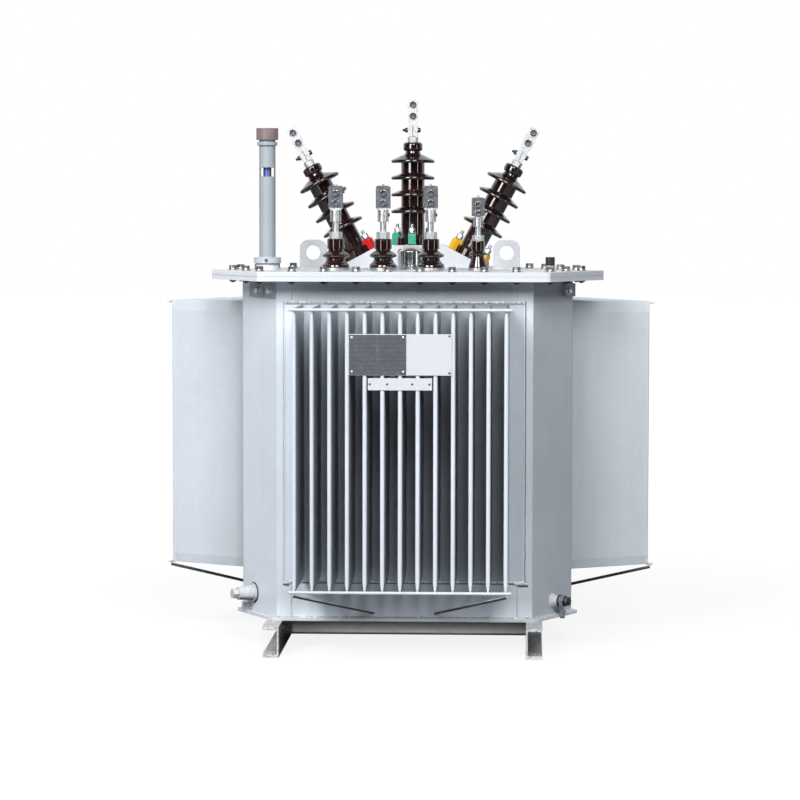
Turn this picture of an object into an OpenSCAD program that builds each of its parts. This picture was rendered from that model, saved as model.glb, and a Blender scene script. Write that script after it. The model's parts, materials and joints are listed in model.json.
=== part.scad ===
// Three-phase oil-filled power transformer with a three-sided finned tank.
// Three long finned walls and three short corner walls stand on two skids.
// Millimetres, +Z up, the front of the tank towards -Y, standing on Z = 0.

/* [Tank] */
// Length of each of the three finned walls
long_side = 678; // [650:1:740]
// Length of each of the three corner walls
short_side = 210; // [180:1:250]
// Height of the plain wall above the finned panels
wall_head_h = 56; // [40:1:90]
// Thickness of the walls
wall_t = 6; // [4:0.5:10]
// Thickness of the base plate
base_t = 8; // [5:0.5:14]
// Width of the base plate's rim outside the walls
base_rim = 15; // [8:1:25]

/* [Cover] */
// Thickness of the top flange
flange_t = 10; // [6:0.5:16]
// Width of the flange and cover outside the walls
flange_rim = 73; // [60:1:85]
// Thickness of the gasket under the cover
gasket_t = 3; // [2:0.5:6]
// Distance of the gasket's edge inside the rim
gasket_inset = 0.5; // [0.5:0.5:8]
// Thickness of the cover plate
cover_t = 12; // [8:0.5:18]

/* [Fin packs] */
// Distance from fin to fin
fin_pitch = 45; // [38:1:55]
// Least distance from a long wall's end to its outer fin
fin_margin = 60; // [55:1:90]
// Distance from the wall to the outer edge of the fins
fin_depth = 286; // [220:1:320]
// Thickness of a fin
fin_t = 11; // [8:0.5:14]
// Thickness of a fin at its pinched ends
fin_end_t = 3; // [2:0.5:5]
// Height of the fins
fin_h = 727; // [650:1:760]
// Height of the fins' lower ends above the base plate
fin_rise = 102; // [80:1:112]
// Height over which the lower ends are pinched
pinch_low = 25; // [15:1:40]
// Height over which the upper ends are pinched
pinch_high = 30; // [15:1:40]
// Width of the flat border of the panel beside the outer fins
panel_border = 40; // [20:1:41]
// Width of the flat border of the panel above and below the fins
panel_lip = 6; // [3:0.5:12]
// Thickness of the finned panel's back sheet
panel_t = 4; // [2:0.5:6]
// Diameter of the stay rods and braces
rod_d = 8; // [6:0.5:12]
// Length of the stay rods beyond the outer fins
rod_over = 9; // [4:1:20]
// Distance of each brace's foot from the middle of the wall
brace_x = 78; // [60:1:140]
// Height of each brace's foot above the base plate
brace_z = 11; // [10:1:40]

/* [Skids] */
// Height of the channel section
skid_h = 80; // [63:1:100]
// Width of the channel's flanges
skid_w = 43; // [40:1:53]
// Thickness of the channel's web
skid_web = 5; // [4:0.1:6]
// Thickness of the channel's flanges
skid_flange = 8; // [6:0.1:9]
// Distance between the two skids' hole lines
skid_gauge = 694; // [600:1:720]
// Distance from the channel's back to its hole line
skid_hole_x = 25; // [22:1:30]
// Distance between the front and rear holes
skid_hole_pitch = 660; // [550:1:700]
// Distance of the holes from the skid's ends
skid_hole_end = 47; // [30:1:60]
// Diameter of the anchor holes
skid_hole_d = 18; // [14:0.5:22]
// Length of the skids in front of the front wall
skid_front = 137; // [80:1:180]
// Distance of the cross channel behind the front wall
cross_y = 303; // [250:1:400]

/* [High-voltage bushings] */
// Height of the raised seat
seat_h = 62; // [50:1:75]
// Half the width of the seat's level top
seat_top = 91; // [80:1:100]
// Depth of the seat from front to back
seat_depth = 150; // [135:1:165]
// Lean of the outer bushings
hv_lean = 28; // [20:1:32]
// Distance of the bushings' row from the back corner wall
hv_setback = 200; // [170:1:230]
// Height of a bushing
hv_h = 288; // [270:1:320]
// Diameter of the porcelain body
hv_body_d = 66; // [56:1:74]
// Diameter of the sheds
hv_shed_d = 122; // [100:1:130]
// Number of sheds
hv_shed_count = 4; // [3:1:4]
// Height of the lowest shed's rim
hv_shed_z = 94; // [80:1:100]
// Distance from shed to shed
hv_shed_pitch = 47; // [40:1:50]
// Diameter of the clamped foot
hv_foot_d = 94; // [86:1:96]
// Height of the clamped foot
hv_foot_h = 20; // [15:1:30]
// Diameter of the top cap
hv_cap_d = 54; // [48:1:64]
// Height of the top cap
hv_cap_h = 25; // [18:1:30]
// Number of clamp claws round a foot
claw_count = 3; // [3:1:4]
// Width of a clamp claw
claw_w = 22; // [18:1:26]
// Thickness of a claw's leg and arm
claw_t = 14; // [10:0.5:15]
// Height of a high-voltage terminal
hv_term_h = 120; // [100:1:140]
// Width of a terminal's tongue
hv_tongue_w = 30; // [22:1:36]
// Thickness of a terminal's plates
hv_plate_t = 6; // [4:0.5:8]

/* [Low-voltage bushings] */
// Distance from bushing to bushing
lv_pitch = 127; // [110:1:135]
// Distance of the bushings' row from the front wall
lv_setback = 145; // [120:1:170]
// Diameter of a phase bushing's bell
lv_bell_d = 75; // [60:1:84]
// Height of a phase bushing
lv_h = 77; // [65:1:90]
// Diameter of the neutral bushing's bell
neutral_bell_d = 52; // [44:1:64]
// Height of the neutral bushing
neutral_h = 72; // [60:1:85]
// Thickness of the rings under the bushings
ring_t = 7; // [4:0.5:10]
// Width of a phase terminal's flag
flag_w = 39; // [30:1:46]
// Width of the neutral terminal's flag
neutral_flag_w = 35; // [28:1:42]
// Thickness of the flags
flag_t = 14; // [8:0.5:18]
// Height of a phase terminal
flag_h = 142; // [120:1:160]
// Height of the neutral terminal
neutral_flag_h = 116; // [100:1:130]

/* [Cover fittings] */
// Distance of each lifting lug's hole from the middle
lug_x = 265; // [240:1:280]
// Distance of the lugs behind the tank's axis
lug_y = 28; // [0:1:60]
// Width of a lifting lug
lug_w = 73; // [64:1:84]
// Height of a lifting lug
lug_h = 79; // [70:1:90]
// Thickness of a lifting lug
lug_t = 12; // [8:0.5:20]
// Diameter of a lug's hole
lug_hole_d = 40; // [30:1:44]
// Height of a lug's hole
lug_hole_z = 44; // [38:1:50]
// Distance of the oil gauge inside the tank's left corner
gauge_inset = 69; // [60:1:90]
// Distance of the gauge and thermometer pocket in front of the side corners
gauge_y = 22; // [0:1:40]
// Diameter of the gauge's base discs
gauge_base_d = 73; // [60:1:80]
// Thickness of a base disc
gauge_disc_t = 16; // [10:0.5:20]
// Diameter of the gauge tube
gauge_d = 44; // [38:1:52]
// Height of the gauge to the underside of its cap
gauge_h = 348; // [300:1:380]
// Diameter of the gauge's cap
gauge_cap_d = 59; // [54:1:66]
// Height of the gauge's cap
gauge_cap_h = 31; // [22:1:40]
// Height of the gauge window's lower edge
window_z = 250; // [220:1:270]
// Height of the gauge window
window_h = 24; // [16:1:34]
// Width of the gauge window
window_w = 36; // [22:1:38]
// Diameter of the sight glass
sight_d = 22; // [16:1:28]
// Diameter of the relief valve
relief_d = 74; // [50:1:80]
// Height of the relief valve
relief_h = 69; // [48:1:76]
// Distance of the relief valve in front of the tank's axis
relief_y = 40; // [20:1:60]
// Distance of the thermometer pocket inside the tank's right corner
pocket_inset = 61; // [50:1:80]
// Diameter of the thermometer pocket's cap
pocket_d = 25; // [20:1:32]
// Height of the thermometer pocket
pocket_h = 36; // [26:1:46]

/* [Plates and valves] */
// Width of the backing plate on the front fins
backing_w = 263; // [240:1:300]
// Height of the backing plate
backing_h = 105; // [90:1:130]
// Distance of the backing plate below the fins' upper ends
backing_drop = 65; // [30:1:120]
// Thickness of the plates
plate_t = 2; // [1:0.5:4]
// Width of the rating plate
rating_w = 145; // [120:1:170]
// Width of the blank strip under the backing plate
strip_w = 163; // [140:1:200]
// Height of the blank strip
strip_h = 31; // [24:1:36]
// Gap between the backing plate and the strip
strip_gap = 7; // [4:1:12]
// Height of the drain and sampling valves above the base plate
valve_z = 50; // [40:1:70]
// Diameter of the drain stub's outer end
drain_d = 34; // [30:1:40]
// Length of the drain stub
drain_l = 49; // [40:1:80]
// Diameter of the sampling valve's stub
sample_d = 26; // [18:1:32]
// Length of the sampling valve's stub
sample_l = 24; // [16:1:36]
// Height of an earthing pad
pad_h = 35; // [30:1:50]
// Thickness of an earthing pad
pad_t = 9; // [6:0.5:12]
// Width of an earth block on the base plate
block_w = 26; // [20:1:40]

/* [Hidden] */
$fn = 48;
// Overrun of every cut past the faces that it opens
overrun = 1;
// Gap between pieces that rest against each other on round or welded seats
seat_gap = 0.2;

paint = [0.76, 0.79, 0.82];
cover_paint = [0.88, 0.89, 0.91];
porcelain = [0.16, 0.07, 0.06];
zinc = [0.66, 0.68, 0.70];
dark_steel = [0.20, 0.21, 0.22];
rubber = [0.10, 0.10, 0.11];
claw_red = [0.82, 0.10, 0.09];
claw_green = [0.16, 0.62, 0.45];
claw_yellow = [0.95, 0.72, 0.06];
cap_brown = [0.42, 0.33, 0.31];
sight_blue = [0.20, 0.27, 0.55];
plate_grey = [0.36, 0.38, 0.41];
plate_white = [0.90, 0.91, 0.93];

// Plan of the tank: an equal-angled hexagon about the tank's axis
triangle_side = long_side + 2 * short_side;
long_apothem = triangle_side / (2 * sqrt(3));
short_apothem = triangle_side / sqrt(3) - short_side * sqrt(3) / 2;
corner_x = (long_side + short_side) / 2;
corner_y = -long_apothem + short_side * sqrt(3) / 2;
corner_deg = 60;
front_deg = 0;
right_corner_deg = corner_deg;
right_deg = 2 * corner_deg;
back_deg = 3 * corner_deg;
left_deg = 4 * corner_deg;
left_corner_deg = 5 * corner_deg;

rim_corner_r = 12;

// Heights of the main levels
wall_h = fin_rise + fin_h + panel_lip + wall_head_h;
base_top = skid_h + base_t;
flange_z = base_top + wall_h;
gasket_z = flange_z + flange_t;
cover_z = gasket_z + gasket_t;
cover_top = cover_z + cover_t;

// Finned panels and their rods
fin_count = floor((long_side - 2 * fin_margin - fin_t) / fin_pitch) + 1;
fin_span = (fin_count - 1) * fin_pitch;
panel_w = fin_span + fin_t + 2 * panel_border;
panel_h = fin_h + 2 * panel_lip;
rod_half = fin_span / 2 + fin_t / 2 + rod_over;
rod_out = fin_depth + seat_gap + rod_d / 2;
rod_drop = 3;
brace_drop_share = 1.05;
pack_reach = long_apothem + rod_out + rod_d / 2;

// The whole object is centred between its front and rear rods
reach_back = pack_reach * sin(30) + rod_half * cos(30);
plan_y = (pack_reach - reach_back) / 2;

// Skids
skid_back_x = skid_gauge / 2 - skid_hole_x;
skid_len = skid_hole_pitch + 2 * skid_hole_end;
skid_front_y = plan_y - long_apothem - skid_front;

// Seat and bushings
seat_foot = seat_top + seat_h / tan(hv_lean);
hv_y = plan_y + short_apothem - hv_setback;
hv_rim_r = 5;
hv_neck_d = 40;
hv_root_over = 10;
hv_root_d = hv_body_d + hv_root_over;
hv_root_low_share = 0.10;
hv_root_high_share = 0.30;
hv_top_root_share = 0.34;
// Outline of the neck, as shares of its draw-in and of its height
hv_neck_shares = [[1, 0], [0.45, 0.22], [0.12, 0.55], [0, 1]];
hv_cap_round_r = 8;
// Place of the outer bushings down the seat's sloping sides, as a share of the slope
hv_place_share = 0.53;
hv_flare_h = 8;
claw_gap = 1.5;
hv_stud_d = 14;
hv_nut_d = 30;
hv_nut_h = 14;
hv_clamp_z = 16;
hv_clamp_h = 32;
hv_clamp_depth = 24;
hv_clamp_slit = 3;
hv_flare_share = 0.36;
hv_shoulder_share = 0.50;
hv_tongue_round_r = 6;
seat_bend_r = 30;
lv_y = plan_y - long_apothem + lv_setback;
lv_places_share = [-1.5, -0.5, 0.5];
neutral_place_share = 1.5;
// Outlines of the low-voltage bushings, as shares of the bell's radius and of the height
phase_shares = [
    [0, 0], [0.96, 0], [1, 0.04], [0.97, 0.09], [0.80, 0.17], [0.67, 0.28], [0.67, 0.32], [0.80, 0.36],
    [0.95, 0.38], [0.97, 0.42], [0.93, 0.46], [0.72, 0.53], [0.53, 0.60], [0.53, 0.65], [0.62, 0.65],
    [0.62, 0.97], [0.59, 1], [0, 1]
];
neutral_shares = [
    [0, 0], [0.97, 0], [1, 0.03], [0.95, 0.09], [0.62, 0.42], [0.62, 0.46], [0.88, 0.48], [0.93, 0.52],
    [0.88, 0.56], [0.62, 0.62], [0.62, 0.68], [0.69, 0.68], [0.69, 0.97], [0.66, 1], [0, 1]
];
// Levels of a low-voltage terminal, as shares of its height
lv_nut_share = 0.13;
lv_barrel_share = 0.32;
lv_flag_share = 0.545;
lv_shoulder_share = 0.59;
lv_corner_share = 0.97;
lv_nut_w_share = 0.92;
lv_stud_d_share = 0.44;
lv_barrel_d_share = 0.76;

// Cover fittings
lug_round_r = 24;
gauge_x = -corner_x + gauge_inset;
fitting_y = plan_y + corner_y - gauge_y;
gauge_disc_gap = 2;
gauge_collar_h = 9;
gauge_collar_drop = 6;
gauge_collar_d = 54;
gauge_foot_share = 0.82;
gauge_wall = 4;
relief_dome_h = 20;
relief_rim = 3;
relief_rim_h = 10;
relief_x = 6;
pocket_x = corner_x - pocket_inset;
pocket_nut_h = 13;
pocket_nut_over = 4;

// Plates, valves and earthing pieces
plate_out = fin_depth + seat_gap;
plate_edge = 2;
backing_z = fin_rise + fin_h - backing_drop - backing_h;
drain_flange_d = 50;
drain_flange_t = 7;
drain_taper = 9;
drain_plug_d = 28;
drain_plug_l = 16;
drain_x = -34;
sample_sink = 12;
sample_z = valve_z - sample_sink;
sample_flange_over = 8;
sample_flange_t = 5;
sample_nut_over = 6;
sample_nut_l = 16;
sample_out_d = 20;
sample_out_l = 12;
sample_stem_d = 6;
sample_grip_d = 13;
sample_grip_l = 22;
sample_drop = 46;
pad_drop = 9;
// Place and width of each earthing pad, as shares of a corner wall's length
left_pads_shares = [[0.01, 0.42], [0.37, 0.25]];
right_pad_shares = [0.37, 0.25];
block_h = 20;
block_t = 12;
block_places_shares = [-0.36, 0.20];

// Corner between two neighbouring sides of the plan, whose normals point along two angles
function side_corner(a1, d1, a2, d2) = [
    (d1 * sin(a2) - d2 * sin(a1)) / sin(a2 - a1),
    (d2 * cos(a1) - d1 * cos(a2)) / sin(a2 - a1)
];

// Plan of the tank, grown outwards by a rim
function plan_points(rim) = [
    for (i = [0 : 5])
        let (own = i % 2 == 0 ? long_apothem : short_apothem)
        let (next = i % 2 == 0 ? short_apothem : long_apothem)
        let (own_deg = corner_deg * i - 90)
        side_corner(own_deg, own + rim, own_deg + corner_deg, next + rim)
];

module tank_plan(rim) {
    polygon(plan_points(rim));
}

// Points where the rounds of the plan's corners meet its sides
function round_ends(rim) =
    let (mids = plan_points(rim - rim_corner_r))
    [
        for (i = [0 : 5])
            for (turn = [0, corner_deg])
                let (out_deg = corner_deg * i - 90 + turn)
                mids[i] + rim_corner_r * [cos(out_deg), sin(out_deg)]
    ];

// Plan of the tank with its corners rounded off
module round_plan(rim) {
    polygon(round_ends(rim));
    for (mid = plan_points(rim - rim_corner_r))
        translate(mid)
            circle(r = rim_corner_r);
}

// Level plate or ring of the tank's plan
module plan_plate(z, t, rim) {
    translate([0, plan_y, z])
        linear_extrude(t)
            round_plan(rim);
}

module plan_ring(z, t, rim) {
    translate([0, plan_y, z])
        linear_extrude(t)
            difference() {
                round_plan(rim);
                tank_plan(-wall_t);
            }
}

// Puts a piece on a side of the tank: X along the wall, -Y outwards, Z from the base plate
module on_side(turn) {
    apothem = turn % 120 == 0 ? long_apothem : short_apothem;
    translate([0, plan_y, base_top])
        rotate([0, 0, turn])
            translate([0, -apothem, 0])
                children();
}

// Wall plate with mitred ends
module wall_plate(len) {
    mitre = wall_t * tan(30);
    linear_extrude(wall_h)
        polygon([
            [-len / 2, 0], [len / 2, 0], [len / 2 - mitre, wall_t], [-len / 2 + mitre, wall_t]
        ]);
}

// Finned wall: a frame round the window that the finned panel closes
module finned_wall(turn) {
    on_side(turn)
        difference() {
            wall_plate(long_side);
            translate([-panel_w / 2 - seat_gap, -overrun, fin_rise - panel_lip - seat_gap])
                cube([panel_w + 2 * seat_gap, wall_t + 2 * overrun, panel_h + 2 * seat_gap]);
        }
}

module corner_wall(turn) {
    on_side(turn)
        wall_plate(short_side);
}

// Fin with a rounded outer edge and pinched ends, standing on its lower end
module fin() {
    outline = [
        [-fin_end_t / 2, 0], [fin_end_t / 2, 0], [fin_t / 2, pinch_low], [fin_t / 2, fin_h - pinch_high],
        [fin_end_t / 2, fin_h], [-fin_end_t / 2, fin_h], [-fin_t / 2, fin_h - pinch_high],
        [-fin_t / 2, pinch_low]
    ];
    intersection() {
        translate([0, panel_t, 0])
            rotate([90, 0, 0])
                linear_extrude(panel_t + fin_depth)
                    polygon(outline);
        linear_extrude(fin_h) {
            translate([0, fin_t / 2 - fin_depth])
                circle(d = fin_t);
            translate([-fin_t / 2, fin_t / 2 - fin_depth])
                square([fin_t, fin_depth - fin_t / 2 + panel_t]);
        }
    }
}

// Finned panel: a back sheet folded into a row of deep fins
module fin_pack(turn) {
    on_side(turn)
        translate([0, 0, fin_rise]) {
            translate([-panel_w / 2, 0, -panel_lip])
                cube([panel_w, panel_t, panel_h]);
            for (i = [0 : fin_count - 1])
                translate([i * fin_pitch - fin_span / 2, 0, 0])
                    fin();
        }
}

// Round bar between two points
module bar(from, to, d) {
    run = to - from;
    len = norm(run);
    translate(from)
        rotate([0, acos(run.z / len), atan2(run.y, run.x)])
            cylinder(d = d, h = len);
}

// Rods across the outer edges of the fins, with braces from under the lower one to the wall
module stay_rods(turn) {
    low_z = fin_rise + rod_d / 2 - rod_drop;
    high_z = fin_rise + fin_h - rod_d / 2;
    brace_top_x = rod_half - rod_over;
    brace_top_z = low_z - (rod_d + seat_gap) * brace_drop_share;
    on_side(turn) {
        for (z = [low_z, high_z])
            translate([-rod_half, -rod_out, z])
                rotate([0, 90, 0])
                    cylinder(d = rod_d, h = 2 * rod_half);
        difference() {
            for (hand = [-1, 1])
                bar([hand * brace_top_x, -rod_out, brace_top_z], [hand * brace_x, rod_d, brace_z], rod_d);
            translate([-rod_half, 0, -base_t])
                cube([2 * rod_half, wall_t + 2 * rod_d, fin_rise + fin_h]);
        }
    }
}

// Channel section: back on X = 0, flanges towards +X, height along Y
module channel_section() {
    polygon([
        [0, 0], [skid_w, 0], [skid_w, skid_flange], [skid_web, skid_flange],
        [skid_web, skid_h - skid_flange], [skid_w, skid_h - skid_flange], [skid_w, skid_h], [0, skid_h]
    ]);
}

// Right-hand skid: a channel along Y with its back inboard and anchor holes near its ends
module skid() {
    difference() {
        translate([skid_back_x, skid_front_y + skid_len, 0])
            rotate([90, 0, 0])
                linear_extrude(skid_len)
                    channel_section();
        for (y = [skid_hole_end, skid_len - skid_hole_end])
            translate([skid_gauge / 2, skid_front_y + y, -overrun])
                cylinder(d = skid_hole_d, h = skid_h + 2 * overrun);
    }
}

// Puts a piece on the bushing seat: hand -1 left, 0 middle, 1 right, Z along the bushing
module on_seat(hand) {
    lean_x = seat_top + (seat_foot - seat_top) * hv_place_share;
    seat_rise = hand == 0 ? seat_h : seat_h * (1 - hv_place_share);
    translate([hand * lean_x, hv_y, cover_top + seat_rise])
        rotate([0, hand * hv_lean, 0])
            children();
}

// Shed of a high-voltage bushing, as half of its section
module shed_section(z, root_high) {
    tip_x = hv_shed_d / 2 - hv_rim_r;
    translate([tip_x, z])
        circle(r = hv_rim_r);
    polygon([
        [0, z - hv_shed_pitch * hv_root_low_share], [hv_body_d / 2, z - hv_shed_pitch * hv_root_low_share],
        [tip_x, z - hv_rim_r], [tip_x, z + hv_rim_r], [hv_body_d / 2, z + root_high], [0, z + root_high]
    ]);
}

// High-voltage bushing: flanged foot, shedded body, drawn-in neck and rounded cap
module hv_bushing(hand) {
    top_shed_z = hv_shed_z + (hv_shed_count - 1) * hv_shed_pitch;
    neck_z = top_shed_z + hv_shed_pitch * hv_top_root_share;
    cap_z = hv_h - hv_cap_h;
    cap_x = hv_cap_d / 2 - hv_cap_round_r;
    draw_in = (hv_body_d - hv_neck_d) / 2;
    on_seat(hand)
        rotate_extrude() {
            square([hv_foot_d / 2, hv_foot_h]);
            polygon([
                [0, hv_foot_h], [hv_root_d / 2, hv_foot_h], [hv_body_d / 2, hv_foot_h + hv_flare_h],
                for (p = hv_neck_shares) [hv_neck_d / 2 + draw_in * p[0], neck_z + (cap_z - neck_z) * p[1]],
                [0, cap_z]
            ]);
            for (i = [0 : hv_shed_count - 1])
                shed_section(
                    hv_shed_z + i * hv_shed_pitch,
                    hv_shed_pitch * (i == hv_shed_count - 1 ? hv_top_root_share : hv_root_high_share)
                );
            translate([0, cap_z])
                square([cap_x, hv_cap_h]);
            translate([0, cap_z + hv_cap_round_r])
                square([hv_cap_d / 2, hv_cap_h - 2 * hv_cap_round_r]);
            for (z = [hv_cap_round_r, hv_cap_h - hv_cap_round_r])
                translate([cap_x, cap_z + z])
                    circle(r = hv_cap_round_r);
        }
}

// Claws that hold a bushing's foot down on the seat
module hv_clamp(hand) {
    inner = hv_foot_d / 2 + claw_gap;
    outer = inner + claw_t;
    tip = hv_root_d / 2 + claw_gap;
    arm_z = hv_foot_h + seat_gap;
    top = arm_z + claw_t;
    first_turn = hand == 0 ? -90 : -30;
    on_seat(hand)
        for (i = [0 : claw_count - 1])
            rotate([0, 0, first_turn + i * 360 / claw_count])
                translate([0, claw_w / 2, 0])
                    rotate([90, 0, 0])
                        linear_extrude(claw_w)
                            polygon([
                                [inner, 0], [outer, 0], [outer, top - claw_t / 2],
                                [outer - claw_t / 8, top - claw_t / 5], [outer - claw_t / 2, top],
                                [inner, top], [tip, top - claw_t / 4], [tip, arm_z], [inner, arm_z]
                            ]);
}

// Outline of a terminal's tongue: a narrow root that flares out to a plate with a rounded end
module tongue_outline() {
    flare_z = hv_term_h * hv_flare_share;
    shoulder_z = hv_term_h * hv_shoulder_share;
    round_x = hv_tongue_w / 2 - hv_tongue_round_r;
    round_z = hv_term_h - hv_tongue_round_r;
    polygon([
        [-hv_stud_d / 2, hv_clamp_z], [hv_stud_d / 2, hv_clamp_z], [hv_stud_d / 2, flare_z],
        [hv_tongue_w / 2, shoulder_z], [hv_tongue_w / 2, round_z], [round_x, hv_term_h],
        [-round_x, hv_term_h], [-hv_tongue_w / 2, round_z], [-hv_tongue_w / 2, shoulder_z],
        [-hv_stud_d / 2, flare_z]
    ]);
    for (side = [-1, 1])
        translate([side * round_x, round_z])
            circle(r = hv_tongue_round_r);
}

// High-voltage terminal: stud and nut, a split clamp and a flat tongue
module hv_terminal(hand) {
    clamp_w = hv_stud_d + 2 * hv_plate_t;
    on_seat(hand)
        translate([0, 0, hv_h]) {
            cylinder(d = hv_stud_d, h = hv_clamp_z + hv_clamp_h / 2);
            cylinder(d = hv_nut_d, h = hv_nut_h, $fn = 6);
            difference() {
                translate([-clamp_w / 2, -hv_clamp_depth / 2, hv_clamp_z])
                    cube([clamp_w, hv_clamp_depth, hv_clamp_h]);
                translate([-hv_clamp_slit / 2, -hv_clamp_depth, hv_clamp_z - overrun])
                    cube([hv_clamp_slit, 2 * hv_clamp_depth, hv_clamp_h + 2 * overrun]);
            }
            translate([0, hv_plate_t / 2, 0])
                rotate([90, 0, 0])
                    linear_extrude(hv_plate_t)
                        tongue_outline();
        }
}

// Puts a piece on the low-voltage row, at a share of the pitch from the middle
module on_lv_row(place_share) {
    translate([place_share * lv_pitch, lv_y, cover_top])
        children();
}

module lv_bushing(place_share, bell_d, h, shares) {
    on_lv_row(place_share)
        translate([0, 0, ring_t])
            rotate_extrude()
                polygon([for (p = shares) [p[0] * bell_d / 2, p[1] * h]]);
}

// Outline of a low-voltage flag: shoulders that taper out of the barrel, and cut upper corners
module flag_outline(w, h) {
    root_x = w * lv_barrel_d_share / 2;
    corner = h * (1 - lv_corner_share);
    polygon([
        [-root_x, h * lv_flag_share], [root_x, h * lv_flag_share], [w / 2, h * lv_shoulder_share],
        [w / 2, h - corner], [w / 2 - corner, h], [corner - w / 2, h], [-w / 2, h - corner],
        [-w / 2, h * lv_shoulder_share]
    ]);
}

// Low-voltage terminal: nut, stud, barrel and flat flag
module lv_terminal(place_share, base_z, w, h) {
    on_lv_row(place_share)
        translate([0, 0, base_z]) {
            cylinder(d = w * lv_nut_w_share, h = h * lv_nut_share, $fn = 6);
            cylinder(d = w * lv_stud_d_share, h = h * lv_flag_share);
            translate([0, 0, h * lv_barrel_share])
                cylinder(d = w * lv_barrel_d_share, h = h * (lv_flag_share - lv_barrel_share));
            translate([0, flag_t / 2, 0])
                rotate([90, 0, 0])
                    linear_extrude(flag_t)
                        flag_outline(w, h);
        }
}

// Upright lifting lug with rounded shoulders and a round hole
module lifting_lug(hand) {
    shoulder = lug_w / 2 - lug_round_r;
    translate([hand * lug_x, plan_y + lug_y + lug_t / 2, cover_top])
        rotate([90, 0, 0])
            linear_extrude(lug_t)
                difference() {
                    union() {
                        translate([-lug_w / 2, 0])
                            square([lug_w, lug_h - lug_round_r]);
                        translate([-shoulder, 0])
                            square([2 * shoulder, lug_h]);
                        for (side = [-1, 1])
                            translate([side * shoulder, lug_h - lug_round_r])
                                circle(r = lug_round_r);
                    }
                    translate([0, lug_hole_z])
                        circle(d = lug_hole_d);
                }
}

module base_plate() {
    color(paint)
        plan_plate(skid_h, base_t, base_rim);
}

module front_wall() {
    color(paint)
        finned_wall(front_deg);
}

module left_wall() {
    color(paint)
        finned_wall(left_deg);
}

module right_wall() {
    color(paint)
        finned_wall(right_deg);
}

module left_corner_wall() {
    color(paint)
        corner_wall(left_corner_deg);
}

module right_corner_wall() {
    color(paint)
        corner_wall(right_corner_deg);
}

module back_corner_wall() {
    color(paint)
        corner_wall(back_deg);
}

module top_flange() {
    color(paint)
        plan_ring(flange_z, flange_t, flange_rim);
}

module cover_gasket() {
    color(rubber)
        plan_ring(gasket_z, gasket_t, flange_rim - gasket_inset);
}

module cover_plate() {
    color(cover_paint)
        plan_plate(cover_z, cover_t, flange_rim);
}

module front_fins() {
    color(paint)
        fin_pack(front_deg);
}

module left_fins() {
    color(paint)
        fin_pack(left_deg);
}

module right_fins() {
    color(paint)
        fin_pack(right_deg);
}

module front_stay_rods() {
    color(paint)
        stay_rods(front_deg);
}

module left_stay_rods() {
    color(paint)
        stay_rods(left_deg);
}

module right_stay_rods() {
    color(paint)
        stay_rods(right_deg);
}

module left_skid() {
    color(paint)
        mirror([1, 0, 0])
            skid();
}

module right_skid() {
    color(paint)
        skid();
}

// Channel between the skids' backs, its own back to the front
module cross_channel() {
    color(paint)
        translate([-skid_back_x, plan_y - long_apothem + cross_y, 0])
            rotate([90, 0, 90])
                linear_extrude(2 * skid_back_x)
                    channel_section();
}

// Raised seat of bent plate, with a level top and two sloping sides
module bushing_seat() {
    bend = seat_bend_r * tan(hv_lean / 2);
    bend_x = seat_top + bend * cos(hv_lean);
    bend_z = seat_h - bend * sin(hv_lean);
    color(cover_paint)
        translate([0, hv_y + seat_depth / 2, cover_top])
            rotate([90, 0, 0])
                linear_extrude(seat_depth) {
                    polygon([
                        [-seat_foot, 0], [seat_foot, 0], [bend_x, bend_z], [seat_top - bend, seat_h],
                        [bend - seat_top, seat_h], [-bend_x, bend_z]
                    ]);
                    for (side = [-1, 1])
                        translate([side * (seat_top - bend), seat_h - seat_bend_r])
                            circle(r = seat_bend_r);
                }
}

module hv_bushing_left() {
    color(porcelain)
        hv_bushing(-1);
}

module hv_bushing_middle() {
    color(porcelain)
        hv_bushing(0);
}

module hv_bushing_right() {
    color(porcelain)
        hv_bushing(1);
}

module hv_clamp_left() {
    color(claw_red)
        hv_clamp(-1);
}

module hv_clamp_middle() {
    color(claw_green)
        hv_clamp(0);
}

module hv_clamp_right() {
    color(claw_yellow)
        hv_clamp(1);
}

module hv_terminals() {
    color(zinc)
        for (hand = [-1, 0, 1])
            hv_terminal(hand);
}

module lv_base_rings() {
    color(zinc) {
        for (place_share = lv_places_share)
            on_lv_row(place_share)
                cylinder(d = lv_bell_d, h = ring_t);
        on_lv_row(neutral_place_share)
            cylinder(d = neutral_bell_d, h = ring_t);
    }
}

module lv_bushing_left() {
    color(porcelain)
        lv_bushing(lv_places_share[0], lv_bell_d, lv_h, phase_shares);
}

module lv_bushing_middle() {
    color(porcelain)
        lv_bushing(lv_places_share[1], lv_bell_d, lv_h, phase_shares);
}

module lv_bushing_right() {
    color(porcelain)
        lv_bushing(lv_places_share[2], lv_bell_d, lv_h, phase_shares);
}

module lv_bushing_neutral() {
    color(porcelain)
        lv_bushing(neutral_place_share, neutral_bell_d, neutral_h, neutral_shares);
}

module lv_terminals() {
    color(zinc) {
        for (place_share = lv_places_share)
            lv_terminal(place_share, ring_t + lv_h, flag_w, flag_h);
        lv_terminal(neutral_place_share, ring_t + neutral_h, neutral_flag_w, neutral_flag_h);
    }
}

module left_lifting_lug() {
    color(cover_paint)
        lifting_lug(-1);
}

module right_lifting_lug() {
    color(cover_paint)
        lifting_lug(1);
}

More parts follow.
